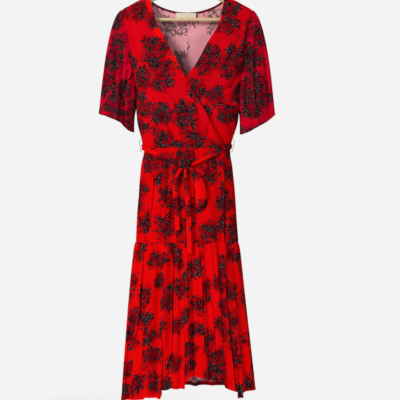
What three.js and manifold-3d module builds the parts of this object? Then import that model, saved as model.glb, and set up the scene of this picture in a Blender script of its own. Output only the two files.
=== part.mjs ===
// A midi wrap dress with flared elbow sleeves and a gathered tier, hanging on a wooden hanger.
//
// Millimetres, +Z up. The origin is the inside of the hook's top, where a rail carries it, and
// heights are given as drops below it. The front faces -Y, and the wearer's left side is at +X.
// The right front laps over the left one.

import * as THREE from 'three';
import { mergeVertices } from 'three/addons/utils/BufferGeometryUtils.js';
import Module from 'manifold-3d';

const wasm = await Module();
wasm.setup();

// Driving sizes of the cloth.
const CLOTH = 1.6; // thickness of a wall of cloth
const SEAM = 0.4; // clearance between two cut pieces at a seam
const LAP = 6; // how far the lower front lies inside the upper one
const ROUNDNESS = 2.4; // exponent of the flattened oval that the dress hangs in
const SHOULDER_FOLD = 8; // radius of the bend of the cloth over the hanger

// Drops of the main seams and edges.
const NECK_POINT = { out: 113, drop: 104 }; // where the shoulder seam meets the neck
const SHOULDER_POINT = { out: 198, drop: 142 }; // where the shoulder seam meets the sleeve
const UNDERARM_DROP = 380;
const WAIST_DROP = 566;
const TIER_DROP = 850;

// Half-widths on the wearer's right and left, depths to the front and the back, and half the gap
// between front and back at the armhole's edge.
const SECTIONS = [
  { drop: 96, right: 199, left: 199, front: 26, back: 15, gap: 9 },
  { drop: 146, right: 197, left: 197, front: 30, back: 17, gap: 9 },
  { drop: 230, right: 178, left: 179, front: 38, back: 22, gap: 19 },
  { drop: 310, right: 166, left: 168, front: 46, back: 32, gap: 15 },
  { drop: 380, right: 156, left: 158, front: 52, back: 40, gap: 0 },
  { drop: 478, right: 152, left: 156, front: 56, back: 42, gap: 0 },
  { drop: 566, right: 134, left: 132, front: 50, back: 40, gap: 0 },
  { drop: 620, right: 143, left: 137, front: 57, back: 46, gap: 0 },
  { drop: 720, right: 152, left: 147, front: 64, back: 52, gap: 0 },
  { drop: 850, right: 160, left: 157, front: 72, back: 58, gap: 0 },
  { drop: 966, right: 171, left: 169, front: 79, back: 63, gap: 0 },
  { drop: 1149, right: 186, left: 190, front: 86, back: 68, gap: 0 },
  { drop: 1330, right: 198, left: 210, front: 92, back: 72, gap: 0 },
];

// Drop of the shoulder line at each distance out from the middle.
const SHOULDER_LINE = [
  { out: 0, drop: 58 },
  { out: 113, drop: 104 },
  { out: 145, drop: 113 },
  { out: 171, drop: 127 },
  { out: 198, drop: 142 },
  { out: 214, drop: 156 },
  { out: 230, drop: 186 },
  { out: 250, drop: 290 },
];

// The free edges of the fronts from the neck point to the waist, as distances across from the
// middle towards the side that each laps to: the upper front's, and the lower one's under it.
const FRONT_EDGE = [
  { drop: 104, across: -113, under: -113 },
  { drop: 122, across: -111, under: -111 },
  { drop: 190, across: -90, under: -96 },
  { drop: 250, across: -58, under: -61 },
  { drop: 300, across: -32, under: -35 },
  { drop: 356, across: -2, under: 0 },
  { drop: 456, across: 55, under: 42 },
  { drop: 566, across: 112, under: 78 },
];

// The back's neck edge, from the middle out to the neck point.
const BACK_NECK = [
  { out: 0, drop: 148 },
  { out: 35, drop: 145 },
  { out: 75, drop: 133 },
  { out: 104, drop: 117 },
  { out: 111, drop: 109 },
  { out: 113, drop: 104 },
];

// The upper skirt's lapping edge from waist to tier, then the tier's to the hem.
const SKIRT_EDGE = [
  { drop: 566, across: 112 },
  { drop: 720, across: 113 },
  { drop: 850, across: 115 },
  { drop: 1020, across: 119 },
  { drop: 1330, across: 148 },
];

// Gathers: how many go all round, how uneven their spacing is in radians, and how deep the
// valleys are at the top and foot of the piece.
const SKIRT_GATHERS = { count: 13, uneven: 0.9, top: 566, foot: 850, depthTop: 3, depthFoot: 9 };
const TIER_GATHERS = { count: 21, uneven: 1.0, top: 850, foot: 1330, depthTop: 7, depthFoot: 12 };

// The deepest single folds: place as a share of the girth, half-width in the same measure, the
// drops between which the fold runs, and its depth.
const DEEP_FOLDS = [
  { share: 0.573, half: 0.016, top: 840, foot: 1100, depth: 8 },
  { share: 0.641, half: 0.018, top: 900, foot: 1340, depth: 10 },
  { share: 0.69, half: 0.018, top: 640, foot: 1200, depth: 10 },
  { share: 0.802, half: 0.018, top: 850, foot: 1180, depth: 9 },
  { share: 0.1, half: 0.018, top: 640, foot: 1330, depth: 9 },
  { share: 0.22, half: 0.02, top: 850, foot: 1330, depth: 10 },
  { share: 0.29, half: 0.018, top: 620, foot: 1100, depth: 9 },
  { share: 0.41, half: 0.018, top: 850, foot: 1330, depth: 10 },
];

// Drop of the hem at each share of the girth: left side, back, right side, then the front.
const HEM = [
  { share: 0.0, drop: 1301 },
  { share: 0.1, drop: 1297 },
  { share: 0.4, drop: 1299 },
  { share: 0.5, drop: 1322 },
  { share: 0.56, drop: 1313 },
  { share: 0.636, drop: 1310 },
  { share: 0.652, drop: 1286 },
  { share: 0.738, drop: 1272 },
  { share: 0.752, drop: 1246 },
  { share: 0.8, drop: 1251 },
  { share: 0.868, drop: 1266 },
  { share: 0.885, drop: 1290 },
  { share: 0.9, drop: 1308 },
  { share: 0.925, drop: 1293 },
  { share: 1.0, drop: 1301 },
];

const FOLD_FADE = 60; // length over which a deep fold fades out at either end
const GIRTH_OVAL = { half: 155, depth: 60 }; // the oval along which shares of the girth are even

const LAP_EASE = { from: 15, to: 31 }; // ways past the upper edge where the lower front comes flush
const TIER_PUFF = { depth: 5, above: 4, below: 22 }; // how the tier swells out below its gathered seam
const UNDER_FRONT_START = 0.66; // share of the girth where the lower front of the skirt begins
const SHOULDER_TRIM = 0.8; // depth left off each face at the shoulder seam
const SIDE_TRIM = 0.004; // angle left off a panel at a side seam
const MIDDLE_TRIM = 0.0014; // angle left off each back half at the middle seam
const SHARE_TRIM = 0.0008; // share of the girth left off a skirt panel at a side seam

// The sleeves: the hem's half-way points in and out, its half-depth and its drops, and the waves
// round it. The bend says where the curve from armhole to hem turns, at the underarm and, with
// the arch added, at the shoulder.
const ARMHOLE_CLEARANCE = 2.2; // from the armhole's edge out to the sleeve's first ring
const CUFF = { inner: 162, outer: 268, depth: 30, innerDrop: 512, outerDrop: 460, frontDip: 6 };
const CUFF_WAVES = { count: 4, depth: 6 };
const SLEEVE_BEND = { out: 0.5, outArch: 0.13, swell: 1.1, down: 0.46, downArch: 0.435 };

// The narrow binding that finishes the back's neck edge, bent over the edge from both faces.
const BINDING = { height: 7, thickness: 1.4, lift: 1.7, reach: 106 };

// The blank neck label.
const LABEL = { left: -35, right: 27, top: 4, height: 21, thickness: 0.8, lift: -1.7 };

// The tie belt. Each row of a route gives the place across, the drop, the strip's width there, its
// lift off the dress and how far its middle bulges out.
const BELT = { width: 17, thickness: 1.8, lift: 3.4, backDrop: 556, sideDrop: 560 };
const BELT_RIGHT_RUN = [
  { across: -133.4, drop: 564, width: 17, lift: 3.6, bulge: 0 },
  { across: -111, drop: 578, width: 17, lift: 3.6, bulge: 0 },
  { across: -66, drop: 593, width: 15, lift: 4, bulge: 1 },
  { across: -22.2, drop: 609.5, width: 9, lift: 9.4, bulge: 1 },
];
const BELT_LEFT_RUN = [
  { across: 12, drop: 617, width: 9, lift: 9.4, bulge: 1 },
  { across: 31, drop: 611, width: 14, lift: 5, bulge: 1 },
  { across: 82, drop: 581, width: 16, lift: 4, bulge: 0 },
  { across: 112, drop: 565, width: 17, lift: 3.8, bulge: 0 },
  { across: 131, drop: 556, width: 17, lift: 3.8, bulge: 0 },
];
const BOW_LOOP = [
  { drop: 625, across: 8.4, width: 8, lift: 12.6, bulge: 1 },
  { drop: 650, across: 24, width: 24, lift: 13, bulge: 3 },
  { drop: 685, across: 37, width: 32, lift: 11, bulge: 5 },
  { drop: 715, across: 39, width: 32, lift: 9, bulge: 5 },
  { drop: 742, across: 33, width: 18, lift: 8, bulge: 2 },
];
const RIGHT_TAIL = [
  { drop: 627.2, across: -17, width: 8, lift: 10.6, bulge: 1 },
  { drop: 655, across: -29, width: 14, lift: 7, bulge: 2 },
  { drop: 690, across: -33, width: 16, lift: 6, bulge: 2 },
  { drop: 780, across: -27, width: 17, lift: 6, bulge: 2 },
  { drop: 812, across: -26, width: 17, lift: 6, bulge: 2 },
];
const LEFT_TAIL = [
  { drop: 629.4, across: -4, width: 8, lift: 10.6, bulge: 1 },
  { drop: 680, across: -3, width: 15, lift: 7, bulge: 2 },
  { drop: 740, across: 4, width: 17, lift: 6, bulge: 2 },
  { drop: 850, across: 8, width: 17, lift: 7, bulge: 2 },
  { drop: 880, across: 9, width: 17, lift: 9, bulge: 2 },
];
const LOOP_THICKNESS = 5; // the bow loop is two layers of the strip
const TAIL_THICKNESS = 2.4;
const BELT_END_ANGLE = 0.006; // angle between the belt's back run and the side seams
const KNOT = { across: -5, drop: 614, lift: 10.6, halfWidth: 18, halfHeight: 15, halfDepth: 9 };
const KNOT_GROOVES = { count: 5, depth: 0.13 };

// The thread loops at the side seams, as rows of drop and lift off the seam.
const THREAD_RADIUS = 0.7;
const THREAD_LOOP = [
  { drop: 536, lift: 2.3 },
  { drop: 544, lift: 7.5 },
  { drop: 557, lift: 8.5 },
  { drop: 571, lift: 7.5 },
  { drop: 577, lift: 2.3 },
];

// The hanger. The wooden bar's top follows the shoulder line, a little below the cloth.
const WOOD = { thickness: 12, reach: 214 };
const WOOD_EDGES = [
  { out: 0, top: 62, bottom: 89 },
  { out: 30, top: 65.5, bottom: 92 },
  { out: 60, top: 76, bottom: 99 },
  { out: 90, top: 94.5, bottom: 110 },
  { out: 113, top: 107.6, bottom: 122 },
  { out: 145, top: 115.2, bottom: 138 },
  { out: 171, top: 129.2, bottom: 155 },
  { out: 183, top: 135.6, bottom: 170 },
  { out: 192, top: 141, bottom: 181 },
  { out: 204, top: 150.5, bottom: 182 },
  { out: 211, top: 158, bottom: 178 },
  { out: 214, top: 164, bottom: 173 },
];
const TROUSER_BAR = { drop: 171.7, radius: 5.4, reach: 196 };
const FERRULE = { radius: 6.5, height: 7 };
const HOOK = { innerRadius: 17, wire: 2, startAngle: -50, tipAngle: 205, step: 15 }; // angles in degrees
const WOOD_TIP = { length: 4, share: 0.6 }; // how near its ends the bar thins, and to what share
const PLAY = 0.3; // clearance between the hanger's parts
const HOOK_STEM = [
  { across: 0.3, drop: 47 },
  { across: 4, drop: 40.5 },
];

// How finely the pieces are divided.
const FRONT_GRID = { columns: 15, rows: 17 };
const BACK_GRID = { columns: 12, rows: 13, neckColumn: 5 }; // one column lands on the neck point
const SLEEVE_GRID = { columns: 24, rows: 8 };
const BELT_GRID = { run: 14, back: 26, loop: 10, rightTail: 12, leftTail: 14 };
const BINDING_COLUMNS = 24;
const LABEL_GRID = { columns: 6, rows: 2 };
const KNOT_GRID = { round: 16, down: 10 };
const WOOD_STEPS = 15;
const QUARTER_STEPS = 400;

const FRONT = -1;
const BACK = 1;
const TAU = 2 * Math.PI;
const { clamp, lerp, smoothstep } = THREE.MathUtils;

// Materials.
const printedCloth = new THREE.MeshStandardMaterial({ color: 0xd01018, roughness: 0.8 });
const labelCloth = new THREE.MeshStandardMaterial({ color: 0xe9dfc8, roughness: 0.7 });
const threadYarn = new THREE.MeshStandardMaterial({ color: 0x5a0a14, roughness: 0.9 });
const paleWood = new THREE.MeshStandardMaterial({ color: 0xe0b98a, roughness: 0.5 });
const chromedWire = new THREE.MeshStandardMaterial({ color: 0xc8c8cc, roughness: 0.25, metalness: 1 });

// A table's row at a given key: every other column runs through its rows as a smooth cubic.
function rowAt(table, key, at) {
  const last = table.length - 1;
  const t = clamp(at, table[0][key], table[last][key]);
  let i = 0;
  while (i < last - 1 && t > table[i + 1][key]) i += 1;
  const [a, b] = [table[i], table[i + 1]];
  const [before, after] = [table[i - 1] ?? a, table[i + 2] ?? b];
  const span = b[key] - a[key];
  const f = (t - a[key]) / span;
  const row = {};
  for (const column of Object.keys(a)) {
    const slopeA = ((b[column] - before[column]) / (b[key] - before[key])) * span;
    const slopeB = ((after[column] - a[column]) / (after[key] - a[key])) * span;
    row[column] =
      a[column] * (1 + 2 * f) * (1 - f) ** 2 +
      b[column] * f * f * (3 - 2 * f) +
      slopeA * f * (1 - f) ** 2 -
      slopeB * f * f * (1 - f);
  }
  return row;
}

// Straight-line reading of a table's column, for edges that step sharply.
function straightAt(table, key, column, at) {
  let i = 0;
  while (i < table.length - 2 && at > table[i + 1][key]) i += 1;
  const [a, b] = [table[i], table[i + 1]];
  return lerp(a[column], b[column], clamp((at - a[key]) / (b[key] - a[key]), 0, 1));
}

const signedPower = (value, power) => Math.sign(value) * Math.abs(value) ** power;

// The smaller of two positive depths, with the change from one to the other rounded off.
function softMin(a, b) {
  return (a * b) / ((a ** 4 + b ** 4) ** 0.25 + 1e-9);
}

// How far the cloth stands off the hanger's plane at a height below the shoulder line: a rounded
// bend over the wood that opens into a slope.
function ridgeDepth(below) {
  const bend = below <= 0 ? 0 : Math.sqrt(below * (2 * SHOULDER_FOLD + 0.03 * below));
  return bend + SHOULDER_TRIM;
}

// A point of the dress. The angle is 0 at the wearer's left side and pi at the right one, over
// the face given, and inset moves the point in towards the middle.
function bodyPoint(face, angle, drop, inset = 0) {
  const s = rowAt(SECTIONS, 'drop', drop);
  const cosine = Math.cos(angle);
  const half = (cosine < 0 ? s.right : s.left) - inset;
  const depth = (face === FRONT ? s.front : s.back) - inset;
  const x = half * signedPower(cosine, 2 / ROUNDNESS);
  const gap = Math.max(s.gap, 0);
  const open = gap + (depth - gap) * Math.abs(Math.sin(angle)) ** (2 / ROUNDNESS);
  const below = drop - rowAt(SHOULDER_LINE, 'out', Math.abs(x)).drop;
  return new THREE.Vector3(x, face * softMin(open, ridgeDepth(below)), -drop);
}

// The angle at which the dress stands at a distance x across, at a given drop.
function angleAcross(x, drop) {
  const s = rowAt(SECTIONS, 'drop', drop);
  const share = clamp(x / (x < 0 ? s.right : s.left), -1, 1);
  return Math.acos(signedPower(share, ROUNDNESS / 2));
}

// Shares of the girth. 0 is the left side seam, 0.25 the middle of the back, 0.5 the right side
// seam and 0.75 the middle of the front. They are even along the oval of the upper skirt.
const QUARTER = (() => {
  const oval = (angle) => [
    GIRTH_OVAL.half * Math.cos(angle) ** (2 / ROUNDNESS),
    GIRTH_OVAL.depth * Math.sin(angle) ** (2 / ROUNDNESS),
  ];
  const lengths = [0];
  for (let i = 1; i <= QUARTER_STEPS; i += 1) {
    const [x0, y0] = oval(((i - 1) / QUARTER_STEPS) * (Math.PI / 2));
    const [x1, y1] = oval(Math.min(i / QUARTER_STEPS, 0.999999) * (Math.PI / 2));
    lengths.push(lengths[i - 1] + Math.hypot(x1 - x0, y1 - y0));
  }
  return lengths.map((length) => length / lengths[QUARTER_STEPS]);
})();

function quarterAngle(part) {
  let i = 1;
  while (i < QUARTER_STEPS && QUARTER[i] < part) i += 1;
  const f = (part - QUARTER[i - 1]) / (QUARTER[i] - QUARTER[i - 1]);
  return ((i - 1 + clamp(f, 0, 1)) / QUARTER_STEPS) * (Math.PI / 2);
}

function angleOfShare(share) {
  const folded = share <= 0.5 ? share : 1 - share;
  return folded <= 0.25 ? quarterAngle(folded * 4) : Math.PI - quarterAngle((0.5 - folded) * 4);
}

function shareAcross(x, drop) {
  const angle = angleAcross(x, drop);
  const folded = angle <= Math.PI / 2 ? angle : Math.PI - angle;
  const at = (folded / (Math.PI / 2)) * QUARTER_STEPS;
  const i = Math.min(Math.floor(at), QUARTER_STEPS - 1);
  const part = lerp(QUARTER[i], QUARTER[i + 1], at - i) / 4;
  return angle <= Math.PI / 2 ? 1 - part : 0.5 + part;
}

// How far the cloth dips in at a gather: uneven waves that vanish at the side seams.
function gatherDip(set, share, drop) {
  const turn = TAU * share;
  const wander = Math.sin(3 * turn) + 0.6 * Math.sin(4 * turn) + 0.4 * Math.sin(7 * turn);
  const swell = 1 + 0.3 * Math.sin(4 * turn + 0.7);
  const down = (drop - set.top) / (set.foot - set.top);
  const wave = 0.5 - 0.5 * Math.cos(set.count * turn + set.uneven * wander);
  return lerp(set.depthTop, set.depthFoot, down) * swell * wave;
}

// How far it dips in at the deep single folds, which fade out at either end.
function foldDip(share, drop) {
  let dip = 0;
  for (const fold of DEEP_FOLDS) {
    const aside = Math.min(Math.abs(share - fold.share) / fold.half, 1);
    const begun = smoothstep(drop, fold.top, fold.top + FOLD_FADE);
    const ended = smoothstep(drop, fold.foot - FOLD_FADE, fold.foot);
    dip += fold.depth * begun * (1 - ended) * (0.5 + 0.5 * Math.cos(Math.PI * aside));
  }
  return dip;
}

// A closed wall of cloth round a grid of points: the grid is offset half the thickness to each
// side along its own normals, and its rims are closed. A round wall joins its last column to its
// first.
function wallGeometry(columns, rows, pointAt, thickness = CLOTH, round = false) {
  const across = round ? columns : columns + 1;
  const grid = [];
  for (let j = 0; j <= rows; j += 1) {
    for (let i = 0; i < across; i += 1) grid.push(pointAt(i / columns, j / rows));
  }
  const at = (i, j) => {
    const column = round ? (i + columns) % columns : clamp(i, 0, columns);
    return grid[clamp(j, 0, rows) * across + column];
  };
  const outer = [];
  const inner = [];
  for (let j = 0; j <= rows; j += 1) {
    for (let i = 0; i < across; i += 1) {
      const along = at(i + 1, j).clone().sub(at(i - 1, j));
      const down = at(i, j + 1).clone().sub(at(i, j - 1));
      const half = along.cross(down).normalize().multiplyScalar(thickness / 2);
      outer.push(at(i, j).clone().add(half));
      inner.push(at(i, j).clone().sub(half));
    }
  }
  const points = [...outer, ...inner];
  const faces = [];
  const quad = (a, b, c, d) => faces.push(a, b, c, a, c, d);
  const id = (i, j) => j * across + (round ? i % columns : i);
  const under = outer.length;
  for (let j = 0; j < rows; j += 1) {
    for (let i = 0; i < columns; i += 1) {
      const [a, b, c, d] = [id(i, j), id(i, j + 1), id(i + 1, j + 1), id(i + 1, j)];
      quad(a, b, c, d);
      quad(under + d, under + c, under + b, under + a);
    }
  }
  for (let i = 0; i < columns; i += 1) {
    quad(id(i, 0), id(i + 1, 0), under + id(i + 1, 0), under + id(i, 0));
    quad(id(i + 1, rows), id(i, rows), under + id(i, rows), under + id(i + 1, rows));
  }
  for (let j = 0; j < rows && !round; j += 1) {
    quad(id(0, j + 1), id(0, j), under + id(0, j), under + id(0, j + 1));
    quad(id(columns, j), id(columns, j + 1), under + id(columns, j + 1), under + id(columns, j));
  }
  return closedGeometry(points, faces);
}

// A geometry with its faces pointing out, from the points and corners of a closed body.
function closedGeometry(points, faces) {
  let volume = 0;
  for (let i = 0; i < faces.length; i += 3) {
    const [a, b, c] = [points[faces[i]], points[faces[i + 1]], points[faces[i + 2]]];
    volume += a.dot(b.clone().cross(c));
  }
  if (volume < 0) faces.reverse();
  const geometry = new THREE.BufferGeometry();
  geometry.setAttribute('position', new THREE.Float32BufferAttribute(points.flatMap((p) => p.toArray()), 3));
  geometry.setIndex(faces);
  return geometry;
}

const dress = new THREE.Group();

function addPiece(name, geometry, material) {
  geometry.computeVertexNormals();
  const mesh = new THREE.Mesh(geometry, material);
  mesh.name = name;
  dress.add(mesh);
}

// Rows are set closer together near the shoulder, where the cloth bends over the hanger.
const crowdedRow = (v) => v ** 2;

// How far the lower front stands in from the body's surface at a point: the whole lap under the
// upper front, easing out over a short way past the upper front's edge.
function lapInset(angle, drop, edgeAcross) {
  const edgeAngle = angleAcross(edgeAcross, drop);
  if (angle >= edgeAngle) return LAP;
  const past = bodyPoint(FRONT, angle, drop).distanceTo(bodyPoint(FRONT, edgeAngle, drop));
  return LAP * (1 - smoothstep(past, LAP_EASE.from, LAP_EASE.to));
}

// One front of the bodice, from its free edge (u = 0) to the armhole and side seam, and from the
// shoulder seam (v = 0) to the waist. Side is -1 for the right front, which laps over.
function frontBodicePoint(side, u, v) {
  const row = crowdedRow(v);
  const edgeDrop = lerp(NECK_POINT.drop, WAIST_DROP - SEAM / 2, row);
  const sideDrop = lerp(SHOULDER_POINT.drop, WAIST_DROP - SEAM / 2, row);
  const edge = rowAt(FRONT_EDGE, 'drop', edgeDrop);
  const edgeAngle = angleAcross(side < 0 ? edge.across : -edge.under, edgeDrop);
  const angle = lerp(edgeAngle, side < 0 ? Math.PI - SIDE_TRIM : SIDE_TRIM, u);
  const topEdge = angleAcross(side * NECK_POINT.out, NECK_POINT.drop);
  const topAngle = lerp(topEdge, side < 0 ? Math.PI - SIDE_TRIM : SIDE_TRIM, u);
  const topOut = SHOULDER_POINT.out * Math.abs(Math.cos(topAngle)) ** (2 / ROUNDNESS);
  const bow = rowAt(SHOULDER_LINE, 'out', topOut).drop;
  const chord = lerp(NECK_POINT.drop, SHOULDER_POINT.drop, u);
  const drop = lerp(edgeDrop, sideDrop, u) + (bow - chord) * (1 - row) ** 4;
  const upperEdge = rowAt(FRONT_EDGE, 'drop', drop).across;
  return bodyPoint(FRONT, angle, drop, side < 0 ? 0 : lapInset(angle, drop, upperEdge));
}

// The value of a line through pairs of place and value.
function piecewise(at, pairs) {
  let i = 0;
  while (i < pairs.length - 2 && at > pairs[i + 1][0]) i += 1;
  const [[a, from], [b, to]] = [pairs[i], pairs[i + 1]];
  return lerp(from, to, clamp((at - a) / (b - a), 0, 1));
}

// One half of the back of the bodice, from the middle seam out to the armhole and side seam.
function backBodicePoint(side, u, v) {
  const turn = piecewise(u * BACK_GRID.columns, [
    [0, Math.PI / 2 - MIDDLE_TRIM],
    [BACK_GRID.neckColumn - 1, angleAcross(NECK_POINT.out - 2, NECK_POINT.drop)],
    [BACK_GRID.neckColumn, angleAcross(NECK_POINT.out, NECK_POINT.drop)],
    [BACK_GRID.columns, SIDE_TRIM],
  ]);
  const angle = side < 0 ? Math.PI - turn : turn;
  const out = SHOULDER_POINT.out * Math.cos(turn) ** (2 / ROUNDNESS);
  const table = out < NECK_POINT.out - 0.5 ? BACK_NECK : SHOULDER_LINE;
  const top = rowAt(table, 'out', out).drop;
  return bodyPoint(BACK, angle, lerp(top, WAIST_DROP - SEAM / 2, crowdedRow(v)));
}

for (const [name, side] of [['right', -1], ['left', 1]]) {
  const front = wallGeometry(FRONT_GRID.columns, FRONT_GRID.rows, (u, v) => frontBodicePoint(side, u, v));
  addPiece(`bodice_front_${name}`, front, printedCloth);
  const back = wallGeometry(BACK_GRID.columns, BACK_GRID.rows, (u, v) => backBodicePoint(side, u, v));
  addPiece(`bodice_back_${name}`, back, printedCloth);
}

// The skirt. A share of the girth gives the angle, the gathers and deep folds dip the surface in,
// and the tier puffs out below its gathered seam.
function skirtPoint(gathers, share, drop, inset = 0) {
  const face = share < 0.5 ? BACK : FRONT;
  const swelling = smoothstep(drop, TIER_DROP - TIER_PUFF.above, TIER_DROP + TIER_PUFF.below);
  const puff = gathers === TIER_GATHERS ? TIER_PUFF.depth * swelling : 0;
  const dip = gatherDip(gathers, share, drop) + foldDip(share, drop);
  return bodyPoint(face, angleOfShare(share), drop, inset + dip - puff);
}

// A panel of the skirt between two shares of the girth, each a function of the drop. The top and
// the foot are functions of the share.
function skirtPanel(gathers, columns, rows, startAt, endAt, footAt, insetAt) {
  const top = gathers.top + SEAM / 2;
  return wallGeometry(columns, rows, (u, v) => {
    const guess = lerp(gathers.top, gathers.foot, v);
    const share = lerp(startAt(guess), endAt(guess), u);
    const drop = lerp(top, footAt(share), v);
    return skirtPoint(gathers, share, drop, insetAt(share, drop));
  });
}

const upperFoot = () => TIER_DROP - SEAM / 2;
const hemFoot = (share) => straightAt(HEM, 'share', 'drop', share);
const edgeShare = (drop) => shareAcross(rowAt(SKIRT_EDGE, 'drop', drop).across, drop);
const underShare = () => UNDER_FRONT_START;
const rightSeam = () => 0.5 + SHARE_TRIM;
const leftSeam = () => 1 - SHARE_TRIM;
const noInset = () => 0;
const skirtLap = (share, drop) =>
  lapInset(angleOfShare(share), drop, rowAt(SKIRT_EDGE, 'drop', drop).across);

const SKIRT_ROWS = [
  { name: 'skirt', gathers: SKIRT_GATHERS, foot: upperFoot, rows: 5, over: 24, under: 20, back: 28 },
  { name: 'tier', gathers: TIER_GATHERS, foot: hemFoot, rows: 7, over: 34, under: 28, back: 42 },
];
for (const { name, gathers, foot, rows, over, under, back } of SKIRT_ROWS) {
  const right = skirtPanel(gathers, over, rows, rightSeam, edgeShare, foot, noInset);
  addPiece(`${name}_front_right`, right, printedCloth);
  const left = skirtPanel(gathers, under, rows, underShare, leftSeam, foot, skirtLap);
  addPiece(`${name}_front_left`, left, printedCloth);
  const rear = skirtPanel(gathers, back, rows, () => SHARE_TRIM, () => 0.5 - SHARE_TRIM, foot, noInset);
  addPiece(`${name}_back`, rear, printedCloth);
}

// A sleeve runs from a ring just outside the armhole to a flared hem, along curves that bend over
// the hanger's end at the top and hang straight at the underarm. Along is the row from armhole to
// hem, and round is the turn from the underarm over the front.
function sleevePoint(side, round, along) {
  const face = round < 0.5 ? FRONT : BACK;
  const climb = 1 - Math.abs(2 * round - 1); // 0 at the underarm, 1 at the shoulder
  const drop = lerp(SHOULDER_POINT.drop, UNDERARM_DROP, (1 - climb) ** 2);
  const start = bodyPoint(face, side < 0 ? Math.PI - SIDE_TRIM : SIDE_TRIM, drop);
  start.x += side * ARMHOLE_CLEARANCE;
  if (climb === 1 || climb === 0) start.y = 0;
  const turn = Math.PI * climb;
  const wave = CUFF_WAVES.depth * Math.sin(turn) * Math.cos(CUFF_WAVES.count * turn);
  const fold = (1 - Math.cos(turn)) / 2;
  const end = new THREE.Vector3(
    side * lerp(CUFF.inner, CUFF.outer, fold),
    face * (CUFF.depth * Math.sin(turn) ** 0.8 + wave),
    -lerp(CUFF.innerDrop, CUFF.outerDrop, fold) - CUFF.frontDip * Math.sin(turn),
  );
  const bend = new THREE.Vector3(
    lerp(start.x, end.x, SLEEVE_BEND.out + SLEEVE_BEND.outArch * climb),
    lerp(start.y, end.y, 0.5) * SLEEVE_BEND.swell,
    lerp(start.z, end.z, SLEEVE_BEND.down - SLEEVE_BEND.downArch * climb ** 1.5),
  );
  return new THREE.QuadraticBezierCurve3(start, bend, end).getPoint(along);
}

for (const [name, side] of [['right', -1], ['left', 1]]) {
  const { columns, rows } = SLEEVE_GRID;
  const sleeve = wallGeometry(columns, rows, (u, v) => sleevePoint(side, u, v), CLOTH, true);
  addPiece(`sleeve_${name}`, sleeve, printedCloth);
}

// A point over the back of the dress at a place across and a drop, lifted off it to the back.
function backPoint(x, drop, lift) {
  const point = bodyPoint(BACK, angleAcross(x, drop), drop);
  point.y += lift;
  return point;
}

// The back's neck binding.
const bindingGeometry = wallGeometry(
  BINDING_COLUMNS,
  1,
  (u, v) => {
    const x = lerp(-BINDING.reach, BINDING.reach, u);
    const edge = rowAt(BACK_NECK, 'out', Math.abs(x)).drop;
    return backPoint(x, edge + BINDING.height * v, BINDING.lift);
  },
  BINDING.thickness,
);
addPiece('back_neck_binding', bindingGeometry, printedCloth);

// The neck label, stitched to the inside of the back just below the binding.
const labelGeometry = wallGeometry(
  LABEL_GRID.columns,
  LABEL_GRID.rows,
  (u, v) => {
    const drop = BACK_NECK[0].drop + LABEL.top + LABEL.height * v;
    return backPoint(lerp(LABEL.left, LABEL.right, u), drop, LABEL.lift);
  },
  LABEL.thickness,
);
addPiece('neck_label', labelGeometry, labelCloth);

// A strip along a route on the front of the dress, its width square to its path.
function routeStrip(route, key, columns, thickness) {
  const [first, last] = [route[0], route[route.length - 1]];
  const [start, end] = [first, last].map((row) => angleAcross(row.across, row.drop));
  const placeAt = (u) => {
    if (key === 'drop') return lerp(first.drop, last.drop, u);
    return bodyPoint(FRONT, lerp(start, end, u), lerp(first.drop, last.drop, u)).x;
  };
  return wallGeometry(
    columns,
    2,
    (u, v) => {
      const here = rowAt(route, key, placeAt(u));
      const before = rowAt(route, key, placeAt(Math.max(u - 0.01, 0)));
      const after = rowAt(route, key, placeAt(Math.min(u + 0.01, 1)));
      const path = new THREE.Vector2(after.across - before.across, after.drop - before.drop);
      path.normalize();
      const side = here.width * (v - 0.5);
      const across = here.across - path.y * side;
      const drop = here.drop + path.x * side;
      const point = bodyPoint(FRONT, angleAcross(across, drop), drop, -here.lift);
      point.y -= here.bulge * (1 - (2 * v - 1) ** 2);
      return point;
    },
    thickness,
  );
}

// The tie belt's stretches round the waist, from the knot on either side and across the back.
for (const [name, route] of [['right', BELT_RIGHT_RUN], ['left', BELT_LEFT_RUN]]) {
  addPiece(`belt_${name}_run`, routeStrip(route, 'across', BELT_GRID.run, BELT.thickness), printedCloth);
}

const beltBack = wallGeometry(
  BELT_GRID.back,
  1,
  (u, v) => {
    const angle = lerp(BELT_END_ANGLE, Math.PI - BELT_END_ANGLE, u);
    const drop = lerp(BELT.sideDrop, BELT.backDrop, Math.sin(angle));
    return bodyPoint(BACK, angle, drop + BELT.width * (v - 0.5), -BELT.lift);
  },
  BELT.thickness,
);
addPiece('belt_back_run', beltBack, printedCloth);

// The knot: a flattened ball, grooved where the strip crosses itself.
const knot = new THREE.SphereGeometry(1, KNOT_GRID.round, KNOT_GRID.down);
const knotPoints = knot.attributes.position;
const knotCentre = bodyPoint(FRONT, angleAcross(KNOT.across, KNOT.drop), KNOT.drop, -KNOT.lift);
for (let i = 0; i < knotPoints.count; i += 1) {
  const p = new THREE.Vector3().fromBufferAttribute(knotPoints, i);
  const wave = Math.cos(KNOT_GROOVES.count * Math.atan2(p.z, p.x));
  const groove = 1 - KNOT_GROOVES.depth * wave * Math.hypot(p.x, p.z);
  knotPoints.setXYZ(
    i,
    knotCentre.x + p.x * groove * KNOT.halfWidth,
    knotCentre.y + p.y * KNOT.halfDepth,
    knotCentre.z + p.z * groove * KNOT.halfHeight,
  );
}
addPiece('belt_knot', knot, printedCloth);

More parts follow.
